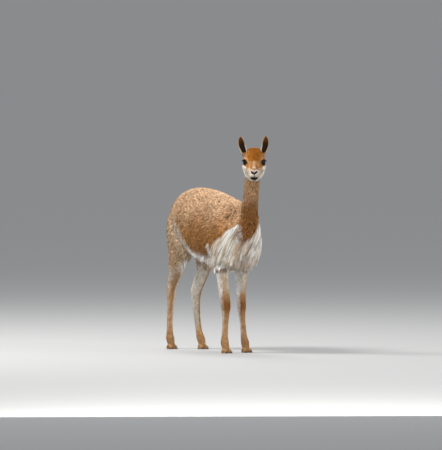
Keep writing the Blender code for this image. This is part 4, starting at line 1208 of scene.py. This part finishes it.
def wornBy(piece, slotName, *nodes):
    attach(piece, "root")
    if nodes:
        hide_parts(*nodes)


points, normals, corners = arraysOf(skin.data)
points -= np.array(shift)
region = Region(points)
centreOf = points[corners].mean(axis=1)
onHead = region.onHead[corners].min(axis=1) > 0
onEar = region.onEar[corners].max(axis=1) > 0
print("regions found", len(points))

skinColour = skin.data.attributes.new("coatColour", "FLOAT_COLOR", "POINT")
shown = np.ones((len(points), 4))
# The skin under the coat is painted darker: painted shade beneath the hair
shown[:, :3] = markingsWithPaintedLight(points, normals, region) * 0.86
skinColour.data.foreach_set("color", shown.astype(np.float32).reshape(-1))


def faceClear(local):
    # Bare skin stays clear of hair: eyes, nostrils and lips
    clear = nostrilReach(local) > 1.30
    for side in (-1, 1):
        _, _, near, oval = eyeOval(local, side)
        clear &= ~(near & (oval < 1.22))
    lip = np.abs(mouthOffset(local) + 0.001)
    front = ramp(-local[:, 1], 0.088, 0.104)
    middle = 1 - ramp(np.abs(local[:, 0]), 0.015, 0.024)
    return clear & ~((lip < 0.0014 + 0.0085 * front * middle) & (-local[:, 1] > 0.064))


looks = {
    "wool": {
        "density": 62000, "length": 0.019, "width": 0.0042, "rise": 0.0120, "curl": 0.16, "stray": 0.26,
        "clumpShare": 0.30, "clumpReach": 0.014, "pull": 0.62, "sink": 0.0030, "stations": 3,
        "mottle": 0.22, "clumpMottle": 0.19, "rootShade": 0.58, "tipShade": 1.30, "streaks": 0.16,
        "thighLonger": 0.5, "legTaper": 0.50,
    },
    "neckWool": {
        "density": 110000, "length": 0.017, "width": 0.0030, "rise": 0.0072, "curl": 0.10, "stray": 0.16,
        "clumpShare": 0.22, "clumpReach": 0.014, "pull": 0.60, "sink": 0.0025, "stations": 3,
        "mottle": 0.21, "clumpMottle": 0.20, "rootShade": 0.56, "tipShade": 1.22, "streaks": 0.14,
        "thighLonger": 0.0, "legTaper": 0.0,
    },
    "legHair": {
        "density": 100000, "length": 0.013, "width": 0.0024, "rise": 0.0024, "curl": 0.02, "stray": 0.10,
        "clumpShare": 0.10, "clumpReach": 0.008, "pull": 0.35, "sink": 0.0012, "stations": 3,
        "mottle": 0.10, "clumpMottle": 0.10, "rootShade": 0.62, "tipShade": 1.14, "streaks": 0.12,
        "thighLonger": 0.0, "legTaper": 0.0,
    },
    "faceHair": {
        "density": 320000, "length": 0.0068, "width": 0.0014, "rise": 0.0016, "curl": 0.02, "stray": 0.12,
        "clumpShare": 0.10, "clumpReach": 0.004, "pull": 0.30, "sink": 0.0006, "stations": 3,
        "mottle": 0.12, "clumpMottle": 0.16, "rootShade": 0.62, "tipShade": 1.10, "streaks": 0.05,
        "thighLonger": 0.0, "legTaper": 0.0,
    },
    "earHair": {
        "density": 300000, "length": 0.0075, "width": 0.0013, "rise": 0.0018, "curl": 0.02, "stray": 0.12,
        "clumpShare": 0.10, "clumpReach": 0.004, "pull": 0.30, "sink": 0.0006, "stations": 3,
        "mottle": 0.07, "clumpMottle": 0.06, "rootShade": 0.68, "tipShade": 1.08, "streaks": 0.05,
        "thighLonger": 0.0, "legTaper": 0.0,
    },
}

neckShare = neckShareOf(centreOf) * (~onHead) * (~onEar)
legShare = (1 - ramp(centreOf[:, 2], 0.42, 0.50)) * (~onHead)
woolShare = (1 - neckShare) * (1 - legShare) * (~onHead) * (~onEar)
sole = centreOf[:, 2] < 0.004
areas = (
    ("wool", "torsoWool", woolShare, 4, "cinnamon_wool"),
    ("neckWool", "neckWool", neckShare, 1, "neck_wool"),
    ("legHair", "legHair", legShare * (~sole), 3, "leg_hair"),
    ("faceHair", "faceHair", onHead & ~onEar, 2, "face_hair"),
    ("earHair", "earHair", onEar * 1.0, 1, "face_hair"),
)
coat = []
for seed, (lookName, pieceName, share, parts, slotName) in enumerate(areas):
    look = looks[lookName]
    draw = np.random.default_rng(31 + seed)
    spots, facing = scatter(points, normals, corners, look["density"] * np.asarray(share, dtype=float), draw)
    spotRegion = Region(spots)
    if lookName == "faceHair":
        keep = faceClear(spotRegion.local)
        spots, facing = spots[keep], facing[keep]
        spotRegion = Region(spots)
    if lookName == "earHair":
        keep = np.ones(len(spots), dtype=bool)
        for side in (-1, 1):
            place, turn = earFrame(spots, side)
            inside = (spotRegion.earSide == side) & ((facing @ turn)[:, 1] < -0.15)
            keep &= ~(inside & (draw.uniform(0, 1, len(spots)) > 0.25))
        spots, facing = spots[keep], facing[keep]
        spotRegion = Region(spots)
    made = growTufts(pieceName, spots, facing, spotRegion, look, draw, parts)
    for piece in made:
        coat.append((piece, slotName))
    print(pieceName, len(spots))


# Long hair: guide paths laid over the skin, each carrying a lock of strands

straightDown = Vector((0, 0, -1))


def nearestOnSkin(place):
    spot, normal, _, _ = skinTree.find_nearest(place)
    away = place - spot
    return spot, normal, math.copysign(away.length, away.dot(normal))


def layPath(root, flow, tipFlow, length, lift, steps):
    # Steps over the skin from the root, leaning from flow to tipFlow, and stands off by lift
    spot, normal, _ = nearestOnSkin(root)
    out = normal.copy()
    path = [(spot - normal * 0.004, out.copy())]
    place = spot + normal * 0.001
    step = length / steps
    for k in range(1, steps + 1):
        share = k / steps
        along = flow.lerp(tipFlow, share)
        against = along.dot(normal)
        if against < 0 or normal.z > -0.35:
            along = along - normal * against
        place = place + along.normalized() * step
        spot, normal, distance = nearestOnSkin(place)
        wanted = 0.003 + lift * math.sin(math.pi * min(share * 0.62, 1.0))
        if distance < wanted:
            place = place + normal * (wanted - distance)
        elif normal.z > -0.20:
            place = place + normal * (wanted - distance) * 0.6
        level = Vector((normal.x, normal.y, 0))
        if level.length > 0.3:
            out = out.lerp(level.normalized(), 0.5).normalized()
        path.append((place.copy(), out.copy()))
    return path


def growLocks(name, guides, look, draw, parts):
    # Each guide is a path with its root colour, tip colour and width
    stations = look["stations"]
    shares = np.linspace(0, 1, stations)
    allPaths, allOuts, allWidths, allColours, roots = [], [], [], [], []
    for path, rootColour, tipColour, wide in guides:
        places = np.array([tuple(p) for p, _ in path])
        outs = np.array([tuple(n) for _, n in path])
        knots = np.linspace(0, 1, len(path))
        count = look["strands"]
        reach = draw.uniform(0.70, 1.06, count)
        reach[0] = 1.0
        s = np.clip(reach[:, None] * shares[None], 0, 1.0)
        centre = np.stack([np.interp(s, knots, places[:, k]) for k in range(3)], axis=-1)
        out = unit(np.stack([np.interp(s, knots, outs[:, k]) for k in range(3)], axis=-1))
        ahead = unit(np.gradient(centre, axis=1))
        across = unit(np.cross(out, ahead))
        a = draw.uniform(-1, 1, count)[:, None, None]
        b = draw.uniform(0, 1, count)[:, None, None]
        swell = (0.75 + 0.75 * s - 0.42 * s**2) * np.maximum(1 - s**2.4, 0.0) ** 0.8 + 0.04
        wave = np.sin(2 * math.pi * (look["waves"] * s + draw.uniform(0, 1)))
        finer = np.sin(2 * math.pi * (1.6 * look["waves"] * s + draw.uniform(0, 1, (count, 1))))
        wave = (wave + 0.35 * finer) * look["waviness"]
        paths = centre + across * (a * wide / 2 * swell[..., None] + (wave * s)[..., None])
        paths = paths + out * b * look["depth"] * (1 - 0.6 * s[..., None])
        allPaths.append(paths)
        allOuts.append(out)
        taper = np.interp(shares, (0, 0.3, 0.8, 1), (0.8, 1.0, 0.65, 0.2))
        allWidths.append(look["width"] * draw.uniform(0.7, 1.25, (count, 1)) * taper[None])
        lockShade = 1 + draw.normal(0, look["lockMottle"])
        own = lockShade * (1 + draw.normal(0, look["mottle"], (count, 1, 1)))
        shade = np.interp(shares, (0, 0.25, 1), (0.76, 1.00, 1.08))[None, :, None]
        toTip = (shares**0.7)[None, :, None]
        colour = (rootColour * (1 - toTip) + tipColour * toTip) * own * shade
        dimmed = look["deepShade"] + (1 - look["deepShade"]) * b
        colour = colour * dimmed ** np.array((0.82, 1.0, 1.25))
        allColours.append(np.clip(colour, 0.004, 0.95))
        roots.append(np.repeat(places[:1], count, axis=0) + draw.normal(0, 0.002, (count, 3)))
    rootPlaces = np.concatenate(roots)
    places = unwrap(rootPlaces, Region(rootPlaces))
    arrays = (np.concatenate(rows) for rows in (allPaths, allOuts, allWidths, allColours))
    return weave(name, *arrays, places, parts)


longHair = {
    "bib": {
        "strands": 13, "stations": 8, "width": 0.0023, "depth": 0.0085,
        "waves": 1.3, "waviness": 0.0028, "mottle": 0.13, "lockMottle": 0.12, "deepShade": 0.50,
    },
    "belly": {
        "strands": 12, "stations": 6, "width": 0.0022, "depth": 0.0050,
        "waves": 1.4, "waviness": 0.0024, "mottle": 0.08, "lockMottle": 0.10, "deepShade": 0.70,
    },
    "tail": {
        "strands": 14, "stations": 6, "width": 0.0030, "depth": 0.0060,
        "waves": 1.4, "waviness": 0.0022, "mottle": 0.07, "lockMottle": 0.07, "deepShade": 0.75,
    },
    "ruff": {
        "strands": 9, "stations": 5, "width": 0.0014, "depth": 0.0030,
        "waves": 1.2, "waviness": 0.0012, "mottle": 0.06, "lockMottle": 0.06, "deepShade": 0.85,
    },
}
# Height of the bib's tips, from its right edge round the front to its left
bibTips = (
    (-1.0, -0.6, 0.0, 0.2, 0.4, 0.63, 1.0),
    (0.502, 0.482, 0.452, 0.465, 0.500, 0.540, 0.570),
)
# Along the belly: where its long hair is rooted at the highest, and how low it hangs
bellyRoots = ((-0.24, -0.17, -0.10, -0.03, 0.03, 0.10), (0.505, 0.535, 0.540, 0.550, 0.560, 0.575))
bellyTips = ((-0.24, -0.16, -0.07, 0.025, 0.10), (0.450, 0.466, 0.495, 0.529, 0.560))


def within(value):
    return min(max(value, 0.0), 1.0)


def bibGuides(draw):
    x, y, z = centreOf.T
    edge = np.interp(z, *chestEdge)
    margin = 0.004 - 0.027 * ramp(z, 0.50, 0.54) * (1 - ramp(z, 0.60, 0.64))
    share = (z > 0.482) & (z < 0.735) & (y < edge + margin) & ~onHead & (y < -0.19)
    onFront = 1 - ramp(np.abs(x + 0.012), 0.030, 0.050)
    high = ramp(z, 0.610, 0.660) * onFront
    spots, facing = scatter(points, normals, corners, 4300.0 * share * (1 - high), draw)
    own = markingsWithPaintedLight(spots, facing, Region(spots))
    drift = wobble(spots, 0.09, 21)
    guides = []
    for spot, rootColour, sway in zip(spots, own, drift):
        around = math.atan2(spot[0], -(spot[1] + 0.22))
        across = max(min(around / math.radians(95), 1.0), -1.0)
        sweep = abs(across) ** 0.9
        upper = within((spot[2] - 0.56) / 0.12)
        slant = (0.52 + 0.28 * upper) * (1 - ramp(across, 0.0, 0.5))
        flow = Vector((0.30 * across + 0.22 * sway - slant, sweep * (0.45 + 1.15 * upper), -1.0)).normalized()
        turned = -0.45 * max(across, 0.0) + 0.12 * sway - 0.5 * slant
        tipFlow = Vector((turned, 0.18 * sweep, -1.0)).normalized()
        tip = np.interp(across, *bibTips)
        length = min(max((spot[2] - tip) * 1.04, 0.045), 0.150) * draw.uniform(0.84, 1.10)
        lift = 0.010 + 0.010 * draw.uniform(0, 1)
        path = layPath(Vector(spot), flow, tipFlow, length, lift, 7)
        brown = rootColour[2] < 0.30
        tinted = tone["cream"] if draw.uniform(0, 1) < 0.30 else tone["white"]
        # The lowest-hanging tips in the middle of the bib run to tan: partly tan hair, partly painted shade
        # under the bib
        hung = within((0.55 - (spot[2] - length)) / 0.10) * within((0.62 - abs(across + 0.05)) / 0.35)
        tipColour = tinted + (tone["tan"] - tinted) * hung * draw.uniform(0.0, 0.85)
        guides.append((path, rootColour if brown else tinted, tipColour, 0.017 * draw.uniform(0.7, 1.25)))
    return guides


def bellyGuides(draw):
    x, y, z = centreOf.T
    line = np.interp(y, *bellyRoots)
    share = (z < line) & (z > line - 0.050) & (y > -0.235) & (y < 0.085) & (np.abs(x) > 0.05)
    spots, _ = scatter(points, normals, corners, 3000.0 * share, draw)
    guides = []
    for spot in spots:
        flow = Vector((-0.10 * np.sign(spot[0]), 0.22 + draw.uniform(-0.12, 0.12), -1.0)).normalized()
        room = spot[2] - np.interp(spot[1], *bellyTips)
        length = max(room, 0.022) * draw.uniform(0.6, 1.10)
        lift = 0.004 + 0.004 * draw.uniform(0, 1)
        path = layPath(Vector(spot), flow, straightDown, length, lift, 5)
        tip = tone["white"] if draw.uniform(0, 1) < 0.6 else tone["cream"]
        guides.append((path, tip, tip, 0.015 * draw.uniform(0.7, 1.3)))
    return guides


def tailGuides(draw):
    x, y, z = centreOf.T
    share = (y > 0.352) & (z > 0.680) & (z < 0.805) & (np.abs(x) < 0.030)
    spots, _ = scatter(points, normals, corners, 6500.0 * share, draw)
    guides = []
    for spot in spots:
        flow = Vector((2.2 * spot[0] + draw.uniform(-0.06, 0.06), 0.10, -1.0)).normalized()
        length = min(spot[2] - 0.605, 0.105) * draw.uniform(0.85, 1.05)
        lift = 0.008 + 0.007 * draw.uniform(0, 1)
        path = layPath(Vector(spot), flow, straightDown, length, lift, 5)
        path = [path[0]] + [(Vector((p.x, max(p.y, 0.376), p.z)), n) for p, n in path[1:]]
        guides.append((path, tone["rump"], tone["back"], 0.018 * draw.uniform(0.7, 1.3)))
    return guides


def ruffGuides(draw):
    local = region.local[corners].mean(axis=1)
    x, y, z = local.T
    out = np.abs(x)
    cheek = (z < -0.018) & (y > -0.040) & (y < 0.060) & (out > 0.028)
    throat = (z < -0.060) & (y > -0.050) & (y < 0.060)
    share = onHead & (cheek | throat)
    spots, facing = scatter(points, normals, corners, 14000.0 * share, draw)
    spotRegion = Region(spots)
    own = markingsWithPaintedLight(spots, facing, spotRegion)
    turn = headMatrix.to_3x3()
    guides = []
    for spot, place, rootColour in zip(spots, spotRegion.local, own):
        inward = -0.10 * np.sign(place[0]) * min(abs(place[0]) / 0.04, 1.0)
        flow = turn @ Vector((inward, 0.70, -1.0)).normalized()
        length = (0.018 + 0.010 * ramp(-place[2], 0.02, 0.06)) * draw.uniform(0.8, 1.2)
        lift = 0.003 + 0.002 * draw.uniform(0, 1)
        path = layPath(Vector(spot), flow, flow.lerp(straightDown, 0.3), length, lift, 4)
        pale = tone["white"] if place[2] < -0.035 else tone["cheek"]
        guides.append((path, rootColour, pale, 0.009 * draw.uniform(0.7, 1.3)))
    return guides


for pieceName, lookName, makeGuides, slotName, seed, parts in (
    ("chestLocks", "bib", bibGuides, "white_hair", 71, 2),
    ("bellyLocks", "belly", bellyGuides, "white_hair", 72, 1),
    ("tailLocks", "tail", tailGuides, "cinnamon_wool", 73, 1),
    ("cheekRuff", "ruff", ruffGuides, "face_hair", 74, 1),
):
    draw = np.random.default_rng(seed)
    guides = makeGuides(draw)
    for piece in growLocks(pieceName, guides, longHair[lookName], draw, parts):
        coat.append((piece, slotName))
    print(pieceName, len(guides))


# Eyes, lashes and nails

def makeEye(side):
    # A ball with a bulged cornea, dark iris and level pupil
    radius = headForm["eyeRadius"] - 0.0002
    place = eyeMatrix(side)
    name = "eyeLeft" if side > 0 else "eyeRight"
    eye = ball(name, Matrix.Identity(4), (radius, radius, radius), 64, 48)
    mesh = eye.data
    co = np.empty(len(mesh.vertices) * 3)
    mesh.vertices.foreach_get("co", co)
    co = co.reshape(-1, 3)
    off = np.degrees(np.arccos(np.clip(co[:, 2] / radius, -1, 1)))
    bulge = 1 + 0.055 * (1 - ramp(off, 0, 42))
    shade = np.ones((len(co), 4))
    shade[:, :3] = hexToLinear("#0E0805")
    iris = 1 - ramp(off, 33, 38)
    shade[:, :3] = blendTo(shade[:, :3], hexToLinear("#160D07"), iris)
    pupil = 1 - ramp(np.sqrt((co[:, 0] / 0.0070) ** 2 + (co[:, 1] / 0.0036) ** 2), 0.9, 1.1)
    shade[:, :3] = blendTo(shade[:, :3], hexToLinear("#050404"), pupil * (co[:, 2] > 0))
    co = co * bulge[:, None]
    mesh.vertices.foreach_set("co", co.reshape(-1))
    colour = mesh.attributes.new("coatColour", "FLOAT_COLOR", "POINT")
    colour.data.foreach_set("color", shade.astype(np.float32).reshape(-1))
    mesh.transform(Matrix.Translation(shift) @ headMatrix @ place)
    mesh.shade_smooth()
    return eye


def makeLashes(draw):
    # Long lashes that fan out from the upper lid, and short ones below
    paths, outs, widths, roots = [], [], [], []
    radius = headForm["eyeRadius"] + headForm["lid"] - 0.0008
    halfLong, halfHigh = headForm["oval"]
    rows = [(angle, 0.0150) for angle in np.linspace(8, 172, 34)]
    rows += [(angle, 0.0055) for angle in np.linspace(205, 335, 16)]
    for side in (-1, 1):
        place = headMatrix @ eyeMatrix(side)
        turn = place.to_3x3()
        for degrees, length in rows:
            angle = math.radians(degrees) + draw.normal(0, 0.03)
            ex, ey = halfLong * 1.04 * math.cos(angle), halfHigh * 1.06 * math.sin(angle)
            ez = math.sqrt(max(radius**2 - ex**2 - ey**2, 1e-6))
            root = Vector((ex, ey, ez - 0.0008))
            towardsEar = -side * math.cos(angle)
            own = length * draw.uniform(0.8, 1.15) * (1 + 0.25 * towardsEar if length > 0.01 else 1)
            away = Vector((ex * 0.9, ey * 0.9, 0.012)).normalized()
            droop = Vector((-side * 0.35, -0.30 if length > 0.01 else -0.5, 0.1))
            steps = np.linspace(0, 1, 5)
            paths.append([tuple(place @ (root + away * own * s + droop * own * 0.8 * s * s)) for s in steps])
            outs.append([tuple(turn @ Vector((0, 1, 0.3)))] * 5)
            widths.append([0.0018, 0.0016, 0.0013, 0.0009, 0.0003])
            roots.append(tuple(place @ root))
    paths, outs, widths = np.array(paths), np.array(outs), np.array(widths)
    colours = np.tile(tone["dark"], (len(paths), 5, 1))
    roots = np.array(roots)
    return weaveOne("lashes", paths, unit(outs), widths, colours, unwrap(roots, Region(roots)))


eyes = {side: makeEye(side) for side in (-1, 1)}
lashes = makeLashes(np.random.default_rng(81))
print("eyes and lashes made")


# Materials

def addNode(tree, kind, settings=None, links=None):
    made = tree.nodes.new(kind)
    for name, value in (settings or {}).items():
        if name in made.inputs:
            made.inputs[name].default_value = value
        else:
            setattr(made, name, value)
    for name, source in (links or {}).items():
        tree.links.new(source, made.inputs[name])
    return made


def newMaterial(name):
    made = bpy.data.materials.new(name)
    made.use_nodes = True
    return made, made.node_tree, made.node_tree.nodes["Principled BSDF"]


def hairMaterial(name, look):
    made, tree, shader = newMaterial(name)
    colour = addNode(tree, "ShaderNodeAttribute", {"attribute_name": "coatColour"})
    tree.links.new(colour.outputs["Color"], shader.inputs["Base Color"])
    shader.inputs["Roughness"].default_value = look["roughness"]
    shader.inputs["Specular IOR Level"].default_value = look["gloss"]
    shader.inputs["Sheen Weight"].default_value = look["sheen"]
    shader.inputs["Sheen Roughness"].default_value = 0.45
    return made


materialLooks = {
    "wool": {"roughness": 0.90, "gloss": 0.10, "sheen": 0.0},
    "silk": {"roughness": 0.65, "gloss": 0.25, "sheen": 0.05},
    "lash": {"roughness": 0.45, "gloss": 0.45, "sheen": 0.0},
    "hideGrain": 0.0032,
    "hideHair": 0.0011,
    "hornFibre": (0.0012, 0.012, 0.002),
    "horn": "#2A221C",
    "hornPale": "#5A4A3C",
}


def hideMaterial():
    # Short flat hair and bare dark skin: the markings with their painted light and shade, broken by fine
    # grain and bump
    made, tree, shader = newMaterial("shortHairOnHide")
    colour = addNode(tree, "ShaderNodeAttribute", {"attribute_name": "coatColour"})
    place = addNode(tree, "ShaderNodeTexCoord")
    onSkin = {"Vector": place.outputs["Object"]}
    patchy = {"Scale": 1 / materialLooks["hideGrain"], "Detail": 3.0, "Roughness": 0.6}
    grain = addNode(tree, "ShaderNodeTexNoise", patchy, onSkin)
    shades = {"To Min": 0.82, "To Max": 1.15}
    level = addNode(tree, "ShaderNodeMapRange", shades, {"Value": grain.outputs["Fac"]})
    mixed = addNode(tree, "ShaderNodeVectorMath", {"operation": "SCALE"}, {"Scale": level.outputs["Result"]})
    tree.links.new(colour.outputs["Color"], mixed.inputs[0])
    tree.links.new(mixed.outputs["Vector"], shader.inputs["Base Color"])
    fine = {"Scale": 1 / materialLooks["hideHair"], "Detail": 2.0}
    hairs = addNode(tree, "ShaderNodeTexNoise", fine, onSkin)
    relief = {"Strength": 0.35, "Distance": 0.0006}
    bump = addNode(tree, "ShaderNodeBump", relief, {"Height": hairs.outputs["Fac"]})
    tree.links.new(bump.outputs["Normal"], shader.inputs["Normal"])
    shader.inputs["Roughness"].default_value = 0.80
    shader.inputs["Specular IOR Level"].default_value = 0.15
    return made


def hornMaterial():
    # Dull dark horn, streaked along the nail
    made, tree, shader = newMaterial("dullHorn")
    place = addNode(tree, "ShaderNodeTexCoord")
    along = {"Scale": tuple(1 / size for size in materialLooks["hornFibre"])}
    drawn = addNode(tree, "ShaderNodeMapping", along, {"Vector": place.outputs["Object"]})
    plain = {"Scale": 1.0, "Detail": 3.0}
    streak = addNode(tree, "ShaderNodeTexNoise", plain, {"Vector": drawn.outputs["Vector"]})
    colours = addNode(tree, "ShaderNodeValToRGB", None, {"Fac": streak.outputs["Fac"]})
    stops = zip(colours.color_ramp.elements, (0.35, 0.75), ("horn", "hornPale"))
    for stop, position, name in stops:
        stop.position = position
        stop.color = (*hexToLinear(materialLooks[name]), 1)
    tree.links.new(colours.outputs["Color"], shader.inputs["Base Color"])
    relief = {"Strength": 0.3, "Distance": 0.0003}
    bump = addNode(tree, "ShaderNodeBump", relief, {"Height": streak.outputs["Fac"]})
    tree.links.new(bump.outputs["Normal"], shader.inputs["Normal"])
    shader.inputs["Roughness"].default_value = 0.45
    return made


def eyeMaterial():
    # A wet dark eye, glossy all over, the bulged cornea too
    made, tree, shader = newMaterial("wetEye")
    colour = addNode(tree, "ShaderNodeAttribute", {"attribute_name": "coatColour"})
    tree.links.new(colour.outputs["Color"], shader.inputs["Base Color"])
    shader.inputs["Roughness"].default_value = 0.07
    shader.inputs["Specular IOR Level"].default_value = 0.20
    return made


def wear(piece, material):
    piece.data.materials.clear()
    piece.data.materials.append(material)


wool = hairMaterial("mattWool", materialLooks["wool"])  # soft and dull, with no shine along the tufts
silk = hairMaterial("silkyLongHair", materialLooks["silk"])  # smoother long white hair
lashHair = hairMaterial("darkLashHair", materialLooks["lash"])  # stiff dark lashes
hide = hideMaterial()
horn = hornMaterial()
wetEye = eyeMaterial()
for piece, slotName in coat:
    wear(piece, silk if slotName == "white_hair" else wool)
    wornBy(piece, slotName)
wear(skin, hide)
skin.data.shade_smooth()
fleshNodes = ["chest", "torso", "tail", "neck", "head", "ear_left", "ear_right"]
for part in ("leg", "foot"):
    for end in ("front", "hind"):
        fleshNodes += [part + "_" + end + "_left", part + "_" + end + "_right"]
wornBy(skin, "cinnamon_wool", *fleshNodes)
for side, eye in eyes.items():
    wear(eye, wetEye)
    wornBy(eye, "eye", "eye_left" if side > 0 else "eye_right")
wear(lashes, lashHair)
wornBy(lashes, "face_hair")
for nail in nails:
    wear(nail, horn)
    nail.data.shade_smooth()
    end = "front" if "Front" in nail.name else "hind"
    side = "left" if "Left" in nail.name else "right"
    which = "inner" if "Inner" in nail.name else "outer"
    wornBy(nail, "horn", "_".join(("nail", end, side, which)))
coatTriangles = sum(len(piece.data.loops) - 2 * len(piece.data.polygons) for piece, _ in coat)
print("materials set, coat triangles", coatTriangles)


# Studio: a pale floor, soft light and the photo's view

studio = {
    "floorColour": "#ABAAA8",
    "floorRadius": 300,
    "worldColour": "#D8DBE0",
    "worldStrength": 0.80,
    "cameraAzimuth": -30.0,
    "cameraRise": 0.037,  # sine of the camera's height above level
    "cameraDistance": 80.0,
    "lens": 1163.6,
    "aimRight": 0.044,
    "aimUp": 0.693,
    "lightsAim": (0, 0, 0.6),
    "lights": (
        # name, place, energy, size
        ("keyLight", (-3.2, 1.2, 4.6), 300, 1.6),
        ("fillLight", (3.5, -5.0, 3.0), 150, 4.0),
        ("frontLight", (-3.0, -6.0, 2.0), 190, 4.0),
        ("rimLight", (1.0, 3.2, 5.6), 150, 2.0),
    ),
}
deselectAll()
bpy.ops.mesh.primitive_circle_add(vertices=96, radius=studio["floorRadius"], fill_type="NGON")
floor = bpy.context.object
floor.name = "floor"
floorPaint, _, floorShader = newMaterial("paleMattFloor")  # plain matt studio floor
floorShader.inputs["Base Color"].default_value = (*hexToLinear(studio["floorColour"]), 1)
floorShader.inputs["Roughness"].default_value = 0.9
wear(floor, floorPaint)
world = bpy.data.worlds.new("softLight")
bpy.context.scene.world = world
world.use_nodes = True
sky = world.node_tree.nodes["Background"]
sky.inputs["Color"].default_value = (*hexToLinear(studio["worldColour"]), 1)
sky.inputs["Strength"].default_value = studio["worldStrength"]
for name, place, energy, size in studio["lights"]:
    bpy.ops.object.light_add(type="AREA", location=place)
    light = bpy.context.object
    light.name = name
    light.data.energy = energy
    light.data.size = size
    aim = Vector(studio["lightsAim"]) - light.location
    light.rotation_euler = aim.to_track_quat("-Z", "Y").to_euler()

turn = math.radians(studio["cameraAzimuth"])
rise = studio["cameraRise"]
level = math.sqrt(1 - rise * rise)
back = Vector((math.sin(turn) * level, -math.cos(turn) * level, rise))
right = Vector((math.cos(turn), math.sin(turn), 0))
upwards = back.cross(right)
bpy.ops.object.camera_add()
camera = bpy.context.object
camera.name = "photoView"
camera.data.sensor_width = 36
camera.data.lens = studio["lens"]
camera.data.clip_end = 1000
axes = Matrix((right, upwards, back)).transposed().to_4x4()
aimedAt = shift + right * studio["aimRight"] + upwards * studio["aimUp"]
camera.matrix_world = Matrix.Translation(aimedAt + back * studio["cameraDistance"]) @ axes
bpy.context.scene.camera = camera
bpy.context.scene.view_settings.view_transform = "Standard"

print("stage set")
